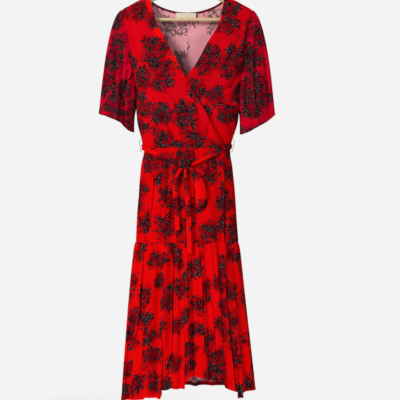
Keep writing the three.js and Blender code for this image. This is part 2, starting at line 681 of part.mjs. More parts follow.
// What hangs from the knot: a tongue-shaped bow loop on the wearer's left and two free ends.
const bowLoop = routeStrip(BOW_LOOP, 'drop', BELT_GRID.loop, LOOP_THICKNESS);
addPiece('belt_bow_loop', bowLoop, printedCloth);
const rightTail = routeStrip(RIGHT_TAIL, 'drop', BELT_GRID.rightTail, TAIL_THICKNESS);
addPiece('belt_tail_right', rightTail, printedCloth);
const leftTail = routeStrip(LEFT_TAIL, 'drop', BELT_GRID.leftTail, TAIL_THICKNESS);
addPiece('belt_tail_left', leftTail, printedCloth);

// A rod along a curve, as an extruded circle of few sides.
function rodAlong(curve, radius, steps, sides) {
  const circle = new THREE.Shape();
  for (let i = 0; i < sides; i += 1) {
    const [x, y] = [radius * Math.cos((TAU * i) / sides), radius * Math.sin((TAU * i) / sides)];
    if (i === 0) circle.moveTo(x, y);
    else circle.lineTo(x, y);
  }
  circle.closePath();
  const rod = new THREE.ExtrudeGeometry(circle, { steps, extrudePath: curve });
  rod.deleteAttribute('normal');
  rod.deleteAttribute('uv');
  return mergeVertices(rod, 1e-3);
}

// Thread loops that carry the belt, one sewn on each side seam.
for (const [name, side] of [['right', -1], ['left', 1]]) {
  const angle = side < 0 ? Math.PI : 0;
  const points = THREAD_LOOP.map(({ drop, lift }) => bodyPoint(BACK, angle, drop, -lift).setY(0));
  const loop = rodAlong(new THREE.CatmullRomCurve3(points), THREAD_RADIUS, 12, 6);
  addPiece(`thread_loop_${name}`, loop, threadYarn);
}

// A closed body through oval rings across X, with its ends closed by a point in their middles.
function ringedBar(rings, sides) {
  const points = [];
  const faces = [];
  for (const { x, top, bottom, thick } of rings) {
    for (let k = 0; k < sides; k += 1) {
      const turn = (TAU * (k + 0.5)) / sides;
      const y = (thick / 2) * signedPower(Math.cos(turn), 0.6);
      const z = ((bottom - top) / 2) * signedPower(Math.sin(turn), 0.8);
      points.push(new THREE.Vector3(x, y, z - (top + bottom) / 2));
    }
  }
  for (let r = 0; r < rings.length - 1; r += 1) {
    for (let k = 0; k < sides; k += 1) {
      const [a, b] = [r * sides + k, r * sides + ((k + 1) % sides)];
      faces.push(a, b, b + sides, a, b + sides, a + sides);
    }
  }
  for (const [r, flip] of [[0, true], [rings.length - 1, false]]) {
    const { x, top, bottom } = rings[r];
    points.push(new THREE.Vector3(x, 0, -(top + bottom) / 2));
    for (let k = 0; k < sides; k += 1) {
      const [a, b] = [r * sides + k, r * sides + ((k + 1) % sides)];
      faces.push(...(flip ? [b, a, points.length - 1] : [a, b, points.length - 1]));
    }
  }
  return closedGeometry(points, faces);
}

function solidOf(geometry) {
  const source = geometry.clone();
  source.deleteAttribute('normal');
  source.deleteAttribute('uv');
  const merged = mergeVertices(source, 1e-3);
  return new wasm.Manifold(new wasm.Mesh({
    numProp: 3,
    vertProperties: merged.attributes.position.array,
    triVerts: Uint32Array.from(merged.index.array),
  }));
}

function geometryOf(solid) {
  const mesh = solid.getMesh();
  const geometry = new THREE.BufferGeometry();
  geometry.setAttribute('position', new THREE.BufferAttribute(mesh.vertProperties, 3));
  geometry.setIndex(new THREE.BufferAttribute(mesh.triVerts, 1));
  return geometry;
}

// The hanger's bent wooden bar, with a seat cut through it for the trouser bar.
const woodRings = [];
for (let i = -WOOD_STEPS; i <= WOOD_STEPS; i += 1) {
  const out = WOOD.reach * Math.sin((Math.abs(i) / WOOD_STEPS) * (Math.PI / 2));
  const edges = rowAt(WOOD_EDGES, 'out', out);
  const atTip = out > WOOD.reach - WOOD_TIP.length;
  const thick = WOOD.thickness * (atTip ? WOOD_TIP.share : 1);
  woodRings.push({ x: Math.sign(i) * out, top: edges.top, bottom: edges.bottom, thick });
}
const seatRadius = TROUSER_BAR.radius + PLAY;
const seatReach = TROUSER_BAR.reach + PLAY;
const seat = new THREE.CylinderGeometry(seatRadius, seatRadius, 2 * seatReach, 12);
seat.rotateZ(Math.PI / 2).translate(0, 0, -TROUSER_BAR.drop);
const wood = solidOf(ringedBar(woodRings, 12)).subtract(solidOf(seat));
addPiece('hanger_arms', geometryOf(wood), paleWood);

const { radius: barRadius, reach: barReach } = TROUSER_BAR;
const bar = new THREE.CylinderGeometry(barRadius, barRadius, 2 * barReach, 12);
bar.rotateZ(Math.PI / 2).translate(0, 0, -TROUSER_BAR.drop);
addPiece('trouser_bar', bar, paleWood);

const ferruleFoot = WOOD_EDGES[0].top - PLAY;
const ferrule = new THREE.CylinderGeometry(FERRULE.radius * 0.8, FERRULE.radius, FERRULE.height, 16);
ferrule.rotateX(Math.PI / 2).translate(0, 0, -ferruleFoot + FERRULE.height / 2);
addPiece('hook_ferrule', ferrule, chromedWire);

// The hook: a stem out of the ferrule that sweeps into a circle open on the wearer's right.
const hookRadius = HOOK.innerRadius + HOOK.wire;
const hookPoints = [
  new THREE.Vector3(0, 0, -(ferruleFoot - FERRULE.height - PLAY)),
  ...HOOK_STEM.map(({ across, drop }) => new THREE.Vector3(across, 0, -drop)),
];
for (let degrees = HOOK.startAngle; degrees <= HOOK.tipAngle; degrees += HOOK.step) {
  const turn = THREE.MathUtils.degToRad(degrees);
  hookPoints.push(new THREE.Vector3(
    hookRadius * Math.cos(turn),
    0,
    hookRadius * Math.sin(turn) - HOOK.innerRadius,
  ));
}
addPiece('hook', rodAlong(new THREE.CatmullRomCurve3(hookPoints), HOOK.wire, 32, 8), chromedWire);

export default dress;
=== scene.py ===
"""A midi wrap dress on its hanger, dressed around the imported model.

Shapes are worked out in millimetres, +Z up, with the origin at the inside of the hook's top and
heights given as drops below it. The front faces -Y, and the wearer's left side is at +X. Meshes
are written in metres.
"""

import math

import bpy
import numpy as np
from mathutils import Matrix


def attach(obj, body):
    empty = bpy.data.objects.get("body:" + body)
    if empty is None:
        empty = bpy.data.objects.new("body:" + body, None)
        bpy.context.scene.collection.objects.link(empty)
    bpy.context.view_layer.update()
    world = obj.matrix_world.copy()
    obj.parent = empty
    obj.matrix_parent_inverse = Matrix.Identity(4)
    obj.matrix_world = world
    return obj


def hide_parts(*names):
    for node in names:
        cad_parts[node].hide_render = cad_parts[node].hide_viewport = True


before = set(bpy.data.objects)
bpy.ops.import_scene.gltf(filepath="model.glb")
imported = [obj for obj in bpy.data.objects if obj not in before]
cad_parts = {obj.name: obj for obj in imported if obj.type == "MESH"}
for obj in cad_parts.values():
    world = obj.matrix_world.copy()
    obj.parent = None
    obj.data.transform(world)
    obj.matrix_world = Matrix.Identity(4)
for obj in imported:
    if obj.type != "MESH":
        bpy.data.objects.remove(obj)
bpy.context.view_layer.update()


# The studio, in metres: a pale round floor that fades out into a pale surround, so that no horizon
# shows, with one large soft light from the upper left of the camera, a weaker one from the right
# and one from behind.

CAMERA_BACK = 2.8  # metres from the plane through the hook
CAMERA_AIM = (0.03965, -0.722)  # across and up, at the middle of the picture
VIEW_WIDTH = 1.22  # metres across the picture at the hook's plane
SENSOR = 36.0
SURROUND = (0.896, 0.896, 0.896, 1)  # what the camera sees behind the dress
AMBIENT = (0.27, 0.27, 0.285, 1)  # what lights the dress from all round
FLOOR_DROP = 1.75
FLOOR_RADIUS = 2.6
FLOOR_SIDES = 96
FLOOR_SOLID = 0.25  # share of the radius from which the floor fades
FLOOR_FADE = 0.6  # share of the radius over which it fades

scene = bpy.context.scene
scene.view_settings.view_transform = "Standard"

camera_data = bpy.data.cameras.new("camera")
camera_data.sensor_width = SENSOR
camera_data.lens = SENSOR * CAMERA_BACK / VIEW_WIDTH
camera = bpy.data.objects.new("camera", camera_data)
camera.location = (CAMERA_AIM[0], -CAMERA_BACK, CAMERA_AIM[1])
camera.rotation_euler = (math.pi / 2, 0, 0)
scene.collection.objects.link(camera)
scene.camera = camera

LIGHTS = [
    # name, place, aim, width, watts
    ("key", (-2.0, -2.4, 0.8), (0, 0, -0.7), 1.0, 84),
    ("fill", (1.9, -2.4, -0.4), (0, 0, -0.8), 1.4, 10),
    ("back", (0.8, 2.6, 0.5), (0, 0, -0.6), 1.6, 50),
]
for name, place, aim, width, watts in LIGHTS:
    light = bpy.data.lights.new(name, "AREA")
    light.energy = watts
    light.size = width
    lamp = bpy.data.objects.new(name, light)
    lamp.location = place
    away = np.array(place) - np.array(aim)
    tilt = math.acos(away[2] / np.linalg.norm(away))
    lamp.rotation_euler = (tilt, 0, math.atan2(away[1], away[0]) + math.pi / 2)
    scene.collection.objects.link(lamp)


class Wire:
    """A socket in a material's node tree. Its operators add Math nodes, and node() any other."""

    def __init__(self, tree, socket):
        self.tree = tree
        self.socket = socket

    def node(self, kind, inputs=None, output=0, **settings):
        """A new node with its settings made first, and then its inputs' values or links."""
        made = self.tree.nodes.new(kind)
        for name, setting in settings.items():
            setattr(made, name, setting)
        for key, value in (inputs or {}).items():
            if isinstance(value, Wire):
                self.tree.links.new(value.socket, made.inputs[key])
            else:
                made.inputs[key].default_value = value
        return Wire(self.tree, made.outputs[output])

    def math(self, operation, *others, clamp=False):
        """A Math node on this number and others, kept between 0 and 1 if clamp is set."""
        inputs = dict(enumerate((self, *others)))
        return self.node("ShaderNodeMath", inputs, operation=operation, use_clamp=clamp)

    def __add__(self, other):
        return self.math("ADD", other)

    def __sub__(self, other):
        return self.math("SUBTRACT", other)

    def __mul__(self, other):
        return self.math("MULTIPLY", other)

    def __truediv__(self, other):
        return self.math("DIVIDE", other)

    def __gt__(self, other):
        return self.math("GREATER_THAN", other)

    def __lt__(self, other):
        return self.math("LESS_THAN", other)

    def __rsub__(self, other):
        return self.node("ShaderNodeMath", {0: other, 1: self}, operation="SUBTRACT")

    __radd__ = __add__
    __rmul__ = __mul__

    def shift(self, operation, other, output=0):
        """Vector maths, between this vector and another or a number."""
        key = "Scale" if operation == "SCALE" else 1
        return self.node("ShaderNodeVectorMath", {0: self, key: other}, output, operation=operation)

    def parts(self):
        """The three numbers of a vector or colour."""
        split = self.node("ShaderNodeSeparateXYZ", {0: self})
        return [Wire(self.tree, out) for out in split.socket.node.outputs]

    def noise(self, scale, detail=2.0, output=0):
        """Noise at this place: a number from 0 to 1, or a colour for output 1."""
        inputs = {"Vector": self, "Scale": scale, "Detail": detail}
        return self.node("ShaderNodeTexNoise", inputs, output)

    def mix(self, low, high):
        """The colour low where this number is 0, and high where it is 1."""
        return self.node("ShaderNodeMix", {0: self, 6: low, 7: high}, 2, data_type="RGBA")


def new_material(name):
    """A material with an empty shader, and a maker of its first wires."""
    material = bpy.data.materials.new(name)
    material.use_nodes = True
    tree = material.node_tree
    shader = next(n for n in tree.nodes if n.type == "BSDF_PRINCIPLED")
    start = Wire(tree, shader.outputs[0])
    return material, shader, start


def feed(shader, values):
    """Sets the shader's sockets by name, each to a value or to a wire."""
    for name, value in values.items():
        if isinstance(value, Wire):
            value.tree.links.new(value.socket, shader.inputs[name])
        else:
            shader.inputs[name].default_value = value


world = bpy.data.worlds.new("surround")
world.use_nodes = True
tree = world.node_tree
backdrop = tree.nodes["Background"]
lit = Wire(tree, backdrop.outputs[0])
camera_ray = lit.node("ShaderNodeLightPath")
tree.links.new(camera_ray.mix(AMBIENT, SURROUND).socket, backdrop.inputs["Color"])
scene.world = world

turn = np.linspace(0, 2 * np.pi, FLOOR_SIDES, endpoint=False)
rim = np.stack([FLOOR_RADIUS * np.cos(turn), FLOOR_RADIUS * np.sin(turn), 0 * turn - FLOOR_DROP], 1)
floor_mesh = bpy.data.meshes.new("floor")
floor_mesh.from_pydata(rim.tolist(), [], [tuple(range(FLOOR_SIDES))])
floor = bpy.data.objects.new("floor", floor_mesh)
scene.collection.objects.link(floor)

floor_material, floor_shader, start = new_material("pale_floor")
place = start.node("ShaderNodeTexCoord", output=3)
out_x, out_y, _ = place.parts()
from_middle = (out_x * out_x + out_y * out_y).math("SQRT") / FLOOR_RADIUS
fade = (from_middle - FLOOR_SOLID).math("DIVIDE", FLOOR_FADE, clamp=True)
feed(floor_shader, {"Base Color": (0.9, 0.9, 0.9, 1), "Roughness": 0.9})
clear = start.node("ShaderNodeBsdfTransparent")
blend = start.node("ShaderNodeMixShader", {0: fade, 1: start, 2: clear})
output = next(n for n in floor_material.node_tree.nodes if n.type == "OUTPUT_MATERIAL")
floor_material.node_tree.links.new(blend.socket, output.inputs[0])
floor_mesh.materials.append(floor_material)


# The hanger: a bar of pale varnished wood bent down towards its ends, with a turned trouser bar
# let into its arms and a plated wire hook that stands in a small ferrule on top.

FRONT, BACK = -1, 1
TAU = 2 * np.pi
WOOD_THICKNESS = 12
WOOD_REACH = 214
WOOD_EDGES = np.array([
    # out, top, bottom
    (0, 62, 89),
    (30, 65.5, 92),
    (60, 76, 99),
    (90, 94.5, 110),
    (113, 107.6, 122),
    (145, 115.2, 138),
    (171, 129.2, 155),
    (183, 135.6, 170),
    (192, 141, 181),
    (204, 150.5, 182),
    (211, 158, 178),
    (214, 164, 173),
])
ARM_RINGS, ARM_SIDES = 161, 48
HOOK_RADIUS = 19  # to the middle of the wire
HOOK_WIRE = 2.0  # radius
HOOK_STEM = np.array([
    # across, drop: from the ferrule to the round of the hook
    (0, 54.4),
    (0, 50.5),
    (0.6, 46.5),
    (2.2, 42.8),
    (5.6, 38.6),
    (9.2, 34.4),
])
HOOK_BEND = np.radians(np.arange(-44, 206, 4))  # round the hook, from where its stem ends


def smooth_rows(table, at):
    """The other columns of a table at values of its first one: cubic pieces, whose slope at a row
    is the slope between the rows on either side of it."""
    key, rest = table[:, 0], table[:, 1:]
    at = np.clip(at, key[0], key[-1])
    i = np.clip(np.searchsorted(key, at) - 1, 0, len(key) - 2)
    before, after = np.maximum(i - 1, 0), np.minimum(i + 2, len(key) - 1)
    span = key[i + 1] - key[i]
    f = ((at - key[i]) / span)[..., None]
    slope_a = (rest[i + 1] - rest[before]) * (span / (key[i + 1] - key[before]))[..., None]
    slope_b = (rest[after] - rest[i]) * (span / (key[after] - key[i]))[..., None]
    found = rest[i] * (1 + 2 * f) * (1 - f) ** 2 + rest[i + 1] * f * f * (3 - 2 * f)
    found = found + slope_a * f * (1 - f) ** 2 - slope_b * f * f * (1 - f)
    return np.moveaxis(found, -1, 0)


def signed_power(value, power):
    """A power of the size of a value, with the sign of the value."""
    return np.sign(value) * np.abs(value) ** power


def closed_mesh(name, points, quads, materials, kinds=None, uvs=None, sharp=60):
    """A mesh object in metres from points in millimetres and quads of their numbers, turned so
    that it faces outwards. kinds gives each quad's material, and uvs each corner's place."""
    points = points.reshape(-1, 3) / 1000
    a, b, c, d = (points[quads[:, k]] for k in range(4))
    volume = np.sum(np.cross(b - a, c - a) * a) + np.sum(np.cross(c - a, d - a) * a)
    if volume < 0:
        quads = quads[:, ::-1]
        uvs = None if uvs is None else uvs[:, ::-1]
    mesh = bpy.data.meshes.new(name)
    mesh.from_pydata(points, [], quads.tolist())
    for material in materials:
        mesh.materials.append(material)
    if kinds is not None:
        mesh.polygons.foreach_set("material_index", kinds.astype(np.int32))
    if uvs is not None:
        layer = mesh.uv_layers.new(name="cloth")
        layer.data.foreach_set("uv", uvs.reshape(-1).astype(np.float32))
    mesh.polygons.foreach_set("use_smooth", np.ones(len(quads), bool))
    mesh.set_sharp_from_angle(angle=math.radians(sharp))
    mesh.update()
    made = bpy.data.objects.new(name, mesh)
    scene.collection.objects.link(made)
    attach(made, "root")
    return made


def tube_quads(rings, sides):
    """The quads of a tube of rings, with each end closed by one fan of quads to a middle point.
    The middle points are the last two."""
    r, k = np.meshgrid(np.arange(rings - 1), np.arange(sides), indexing="ij")
    a, b = r * sides + k, r * sides + (k + 1) % sides
    walls = np.stack([a, b, b + sides, a + sides], -1).reshape(-1, 4)
    k = np.arange(0, sides, 2)
    first, last = rings * sides, rings * sides + 1
    near = np.stack([np.full(len(k), first), (k + 2) % sides, k + 1, k], -1)
    far = np.stack([k, k + 1, (k + 2) % sides, np.full(len(k), last)], -1)
    far[:, :3] += (rings - 1) * sides
    return np.concatenate([walls, near, far])


def wire_tube(path, radius, sides=20):
    """Points of a round tube along a path in the plane of the hanger, with domed ends: each ring
    stands square to the path, and the last rings shrink as a half circle does."""
    ahead = np.gradient(path, axis=0)
    ahead /= np.linalg.norm(ahead, axis=1, keepdims=True)
    across = np.stack([ahead[:, 2], 0 * ahead[:, 0], -ahead[:, 0]], 1)
    turn = TAU * np.arange(sides) / sides
    spokes = across[:, None] * np.cos(turn)[:, None] + np.array([0, 1, 0]) * np.sin(turn)[:, None]
    rings = path[:, None] + spokes * radius
    dome = np.array([0.35, 0.7, 0.93])[:, None, None]
    caps = []
    for end, sign in ((0, -1), (-1, 1)):
        shrunk = path[end] + sign * ahead[end] * radius * dome * 0.9
        caps.append(shrunk + spokes[end] * radius * np.sqrt(1 - dome**2))
    rings = np.concatenate([caps[0][::-1], rings, caps[1]])
    tips = [path[0] - ahead[0] * radius * 0.95, path[-1] + ahead[-1] * radius * 0.95]
    return np.concatenate([rings.reshape(-1, 3), tips]), tube_quads(len(rings), sides)


wood, wood_shader, start = new_material("pale_varnished_wood")
place = start.node("ShaderNodeTexCoord", output=3)
along_grain = place.shift("MULTIPLY", (1.0, 9.0, 9.0))
band = (along_grain.noise(28, 3) * 5).math("FRACT")
fleck = place.shift("MULTIPLY", (14.0, 160.0, 160.0)).noise(6, 2)
tone = (band * 0.6 + fleck * 0.55).math("MULTIPLY", 1, clamp=True)
WOOD_PALE = (0.88, 0.68, 0.42, 1)
WOOD_DEEP = (0.70, 0.46, 0.24, 1)
grain = start.node("ShaderNodeBump", {"Strength": 0.25, "Distance": 0.0003, "Height": tone})
feed(wood_shader, {
    "Base Color": tone.mix(WOOD_PALE, WOOD_DEEP),
    "Roughness": 0.32 + fleck * 0.2,
    "Normal": grain,
    "Coat Weight": 0.3,
    "Coat Roughness": 0.15,
})

out = WOOD_REACH * np.sin(np.linspace(-1, 1, ARM_RINGS) * np.pi / 2)
top, bottom = smooth_rows(WOOD_EDGES, np.abs(out))
turn = TAU * (np.arange(ARM_SIDES) + 0.5) / ARM_SIDES
tip = np.clip((WOOD_REACH - np.abs(out)) / 5, 0, 1)
thick = WOOD_THICKNESS * (0.6 + 0.4 * np.sqrt(1 - (1 - tip) ** 2))
ring_y = thick[:, None] / 2 * signed_power(np.cos(turn), 0.55)
ring_z = (bottom - top)[:, None] / 2 * signed_power(np.sin(turn), 0.75) - (top + bottom)[:, None] / 2
arms_grid = np.stack([np.broadcast_to(out[:, None], ring_y.shape), ring_y, ring_z], -1)
tips = [(end, 0, -(WOOD_EDGES[-1, 1] + WOOD_EDGES[-1, 2]) / 2) for end in (-WOOD_REACH, WOOD_REACH)]
arms_points = np.concatenate([arms_grid.reshape(-1, 3), tips])
arms = closed_mesh("hanger_arms_wood", arms_points, tube_quads(ARM_RINGS, ARM_SIDES), [wood])
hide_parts("hanger_arms")

BAR_DROP = 171.7
BAR_RADIUS = 5.4
BAR_REACH = 196
across = np.linspace(-BAR_REACH, BAR_REACH, 60)
bar_path = np.stack([across, 0 * across, 0 * across - BAR_DROP], 1)
bar = closed_mesh("trouser_bar_wood", *wire_tube(bar_path, BAR_RADIUS, 32), [wood])
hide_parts("trouser_bar")

chrome, chrome_shader, start = new_material("plated_wire")
place = start.node("ShaderNodeTexCoord", output=3)
haze = place.noise(900, 3)
drawn = start.node("ShaderNodeBump", {"Strength": 0.1, "Distance": 0.0001, "Height": haze})
feed(chrome_shader, {
    "Base Color": place.noise(60, 3).mix((0.72, 0.72, 0.74, 1), (0.82, 0.82, 0.83, 1)),
    "Metallic": 1.0,
    "Roughness": 0.14 + haze * 0.14,
    "Normal": drawn,
})

round_x, round_z = HOOK_RADIUS * np.cos(HOOK_BEND), HOOK_RADIUS * (np.sin(HOOK_BEND) - 1) + HOOK_WIRE
path_x = np.concatenate([HOOK_STEM[:, 0], round_x])
path_z = np.concatenate([-HOOK_STEM[:, 1], round_z])
path = np.stack([path_x, 0 * path_x, path_z], 1)
length = np.concatenate([[0], np.cumsum(np.linalg.norm(np.diff(path, axis=0), axis=1))])
even = np.linspace(0, length[-1], 150)
path = np.stack([np.interp(even, length, path[:, k]) for k in range(3)], 1)
path[1:-1] = (path[:-2] + 2 * path[1:-1] + path[2:]) / 4
hook = closed_mesh("hook_wire", *wire_tube(path, HOOK_WIRE, 20), [chrome])
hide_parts("hook")
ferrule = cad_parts["hook_ferrule"]
ferrule.data.materials.clear()
ferrule.data.materials.append(chrome)


# The bodice: two crossed fronts and a back in two halves, of a soft printed plain weave, sewn at
# shoulders, sides and middle back. The free front edges are turned in and stitched down.

ROUNDNESS = 2.4
SHOULDER_FOLD = 8
NECK_POINT = (113, 104)
SHOULDER_POINT = (198, 142)
WAIST_DROP = 566
LAP = 6
LAP_EASE = (15, 31)
SECTIONS = np.array([
    # drop, right, left, front, back, gap
    (96, 199, 199, 26, 15, 9),
    (146, 197, 197, 30, 17, 9),
    (230, 178, 179, 38, 22, 19),
    (310, 166, 168, 46, 32, 15),
    (380, 156, 158, 52, 40, 0),
    (478, 152, 156, 56, 42, 0),
    (566, 134, 132, 50, 40, 0),
    (620, 143, 137, 57, 46, 0),
    (720, 152, 147, 64, 52, 0),
    (850, 160, 157, 72, 58, 0),
    (966, 171, 169, 79, 63, 0),
    (1149, 186, 190, 86, 68, 0),
    (1330, 198, 210, 92, 72, 0),
], float)
SHOULDER_LINE = np.array([
    # out, drop
    (0, 58),
    (113, 104),
    (145, 113),
    (171, 127),
    (198, 142),
    (214, 156),
    (230, 186),
    (250, 290),
], float)
FRONT_EDGE = np.array([
    # drop, across on the upper front, across on the lower one
    (104, -113, -113),
    (122, -111, -111),
    (190, -90, -96),
    (250, -58, -61),
    (300, -32, -35),
    (356, -2, 0),
    (456, 55, 42),
    (566, 112, 78),
], float)
CLOTH_THICK = 0.7
TURNED_MORE = 0.8  # where an edge is turned in
EDGE_STITCH = 5  # from the free edge to its row of stitches
BACK_NECK = np.array([
    # out, drop
    (0, 148),
    (35, 145),
    (75, 133),
    (104, 117),
    (111, 109),
    (113, 104),
], float)


def smooth_step(at, low, high):
    """0 below low and 1 above high, with a cubic ease between."""
    f = np.clip((at - low) / (high - low), 0, 1)
    return f * f * (3 - 2 * f)


def body_point(face, angle, drop, out=0.0):
    """A point of the hanging dress. Across: half-width times cos(angle) to the power 2/roundness.
    Depth: the smaller, softly, of the oval's depth and of the rounded bend over the hanger. The
    angle is 0 at the wearer's left side, and out moves the point away from the middle."""
    right, left, front, back, gap = smooth_rows(SECTIONS, drop)
    cosine = np.cos(angle)
    half = np.where(cosine < 0, right, left) + out
    depth = (front if face == FRONT else back) + out
    x = half * signed_power(cosine, 2 / ROUNDNESS)
    gap = np.maximum(gap, 0)
    oval = gap + (depth - gap) * np.abs(np.sin(angle)) ** (2 / ROUNDNESS)
    below = np.maximum(drop - smooth_rows(SHOULDER_LINE, np.abs(x))[0], 0)
    bend = np.sqrt(below * (2 * SHOULDER_FOLD + 0.03 * below)) + 1e-6
    y = face * oval * bend / (oval**4 + bend**4) ** 0.25
    return np.stack([x, y, -drop + 0 * x], -1)


def angle_across(x, drop):
    """The angle at which the dress stands at a place across, at a drop."""
    right, left = smooth_rows(SECTIONS, drop)[:2]
    share = np.clip(x / np.where(np.asarray(x) < 0, right, left), -1, 1)
    return np.arccos(signed_power(share, ROUNDNESS / 2))


def lap_inset(angle, drop, edge_across):
    """How far a lower front lies inside the upper one: all the lap under it, easing out over a
    short way past the upper front's edge."""
    edge_angle = angle_across(edge_across, drop)
    past = np.linalg.norm(body_point(FRONT, angle, drop) - body_point(FRONT, edge_angle, drop), axis=-1)
    ease = 1 - smooth_step(past, *LAP_EASE)
    return LAP * np.where(angle >= edge_angle, 1, ease)


def thickness_at(from_rim, low, high):
    """The cloth's thickness: with the turned layer as far in as low, and without it past high."""
    return CLOTH_THICK + TURNED_MORE * (1 - smooth_step(from_rim, low, high))


def surface_normals(grid, wrap=False):
    """Unit normals of a grid of points: the cross product of its two directions."""
    if wrap:
        along = np.roll(grid, -1, 1) - np.roll(grid, 1, 1)
    else:
        along = np.gradient(grid, axis=1)
    normal = np.cross(along, np.gradient(grid, axis=0))
    return normal / np.maximum(np.linalg.norm(normal, axis=-1, keepdims=True), 1e-9)


def outward(grid, inside, wrap=False):
    """The normals of a grid, turned away from points inside it."""
    normal = surface_normals(grid, wrap)
    return normal * np.sign(np.sum(normal * (grid - inside)))


def creases(x, drop, table):
    """How far cloth dips at its creases. Each runs from one place to another with a bow: across
    it a bell-shaped valley with a lower ridge on one side, and along it a fade at both ends."""
    dip = 0 * x
    for x0, drop0, x1, drop1, bow, half, depth in table:
        length = math.hypot(x1 - x0, drop1 - drop0)
        ux, ud = (x1 - x0) / length, (drop1 - drop0) / length
        along = ((x - x0) * ux + (drop - drop0) * ud) / length
        inside = np.clip(along, 0, 1)
        aside = (x - x0) * ud - (drop - drop0) * ux + bow * 4 * inside * (1 - inside)
        beyond = np.maximum(np.abs(along - 0.5) - 0.5, 0) * length / half
        fade = np.sin(np.pi * np.clip(0.12 + 0.76 * inside, 0, 1)) ** 1.2 * np.exp(-beyond**2)
        valley = np.exp(-((aside / half) ** 2))
        ridge = np.exp(-(((aside - 1.7 * half) / (0.9 * half)) ** 2))
        dip = dip + depth * fade * (valley - 0.45 * ridge)
    return dip


def ripples(x, drop):
    """The slight unevenness of hanging cloth: three long waves that wander across each other."""
    slow = np.sin(x / 31 + 1.3 * np.sin(drop / 140)) * np.sin(drop / 95 + x / 160)
    quick = np.sin(x / 13 + 0.9 * np.sin(drop / 75 + 1)) * np.sin(drop / 120 + x / 70 + 2)
    slant = np.sin((x + 0.6 * drop) / 24 + 0.7 * np.sin(x / 50))
    return 1.1 * slow + 0.5 * quick + 0.45 * slant


def puckers(along, away, spacing, depth, reach):
    """Small pleats at a gathered seam: waves of wandering spacing, deepest just off the seam and
    gone at the reach, which itself comes and goes."""
    wander = 0.45 * np.sin(along / 41) + 0.3 * np.sin(along / 17 + 1) + 0.25 * np.sin(along / 71 + 2)
    wave = 0.5 - 0.5 * np.cos(TAU * along / spacing + 2.2 * wander)
    here = reach * (0.75 + 0.35 * np.sin(along / 29 + 0.6) + 0.2 * np.sin(along / 11))
    fade = np.exp(-((away / np.maximum(here, 1)) ** 2)) * smooth_step(away, 0, 2.5)
    return depth * (0.75 + 0.25 * np.sin(along / 23)) * wave * fade


def groove(away, depth=1.2, half=2.2):
    """The dip of cloth into a seam."""
    return depth * np.exp(-((away / half) ** 2))


def run_lengths(grid, axis):
    """Lengths along the grid's rows (axis 1) or columns (axis 0) from its first one."""
    steps = np.linalg.norm(np.diff(grid, axis=axis), axis=-1)
    zero = np.zeros_like(np.take(steps, [0], axis))
    return np.concatenate([zero, np.cumsum(steps, axis)], axis)


def mark_points(made, name, values):
    """Writes a number at each point of a mesh, for its material to read."""
    layer = made.data.attributes.new(name, "FLOAT", "POINT")
    layer.data.foreach_set("value", values.astype(np.float32))


def cloth_wall(name, node, grid, normal, place, thickness, stitch, shift=(0, 0), wrap=False,
               finishes=None, tone=0.0):
    """A piece of cloth as a closed wall round a grid: half the thickness to each side of it, with
    the right side of the cloth out, the wrong side in and the rims closed. place is each point's
    place on the flat cloth and stitch its distance from the row of stitches, both in millimetres.
    Short of the stitches the cloth is turned in, so that its right side shows inside too. A tone
    above 0 makes the print deep and crowded and paints crimson light on its ground, and one below
    it makes the print bright and open."""
    rows, columns = grid.shape[:2]
    half = (thickness / 2)[..., None] * normal
    points = np.concatenate([(grid + half).reshape(-1, 3), (grid - half).reshape(-1, 3)])
    under = rows * columns
    wide = columns + 1 if wrap else columns
    j, i = np.meshgrid(np.arange(rows - 1), np.arange(wide - 1), indexing="ij")
    corner_j = np.stack([j, j + 1, j + 1, j], -1).reshape(-1, 4)
    corner_i = np.stack([i, i, i + 1, i + 1], -1).reshape(-1, 4)
    outer = corner_j * columns + corner_i % columns
    spot = corner_j * wide + corner_i
    back_order = [0, 3, 2, 1]  # keeps each quad's diagonal, so that no wall crosses itself
    quads, spots = [outer, (outer + under)[:, back_order]], [spot, spot[:, back_order]]
    rims = []
    i = np.arange(wide - 1)
    for row, flip in ((0, False), (rows - 1, True)):
        a, b = row * columns + i % columns, row * columns + (i + 1) % columns
        rims.append((a, b, row * wide + i, row * wide + i + 1, flip))
    j = np.arange(rows - 1)
    for column, flip in (() if wrap else ((0, True), (columns - 1, False))):
        a, spot_a = j * columns + column, j * wide + column
        rims.append((a, a + columns, spot_a, spot_a + wide, flip))
    for a, b, spot_a, spot_b, flip in rims:
        quad = np.stack([a, b, b + under, a + under], -1)
        spot = np.stack([spot_a, spot_b, spot_b, spot_a], -1)
        quads.append(quad[:, ::-1] if flip else quad)
        spots.append(spot[:, ::-1] if flip else spot)
    kinds = np.concatenate([np.zeros(len(q), int) for q in quads])
    turned_in = np.broadcast_to(stitch, grid.shape[:2]).reshape(-1)[outer].mean(1) < 0
    kinds[len(outer):2 * len(outer)] = np.where(turned_in, 0, 1)
    flat = place.reshape(-1, 2) / 1000 + np.array(shift)
    quads, spots = np.concatenate(quads), np.concatenate(spots)
    finishes = finishes or [right_side, wrong_side]
    made = closed_mesh(name, points, quads, finishes, kinds, flat[spots], sharp=75)
    for attribute, values in (("stitch", stitch / 1000), ("tone", tone)):
        mark_points(made, attribute, np.tile(np.broadcast_to(values, grid.shape[:2]).reshape(-1), 2))
    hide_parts(node)
    return made


def declare_cut(grid, wrap=False):
    """Works out the diagonals of a sheet's cells, and neither uses nor returns them."""
    if wrap:
        grid = np.concatenate([grid, grid[:, :1]], 1)
    a, b = grid[1:, 1:] - grid[:-1, :-1], grid[1:, :-1] - grid[:-1, 1:]


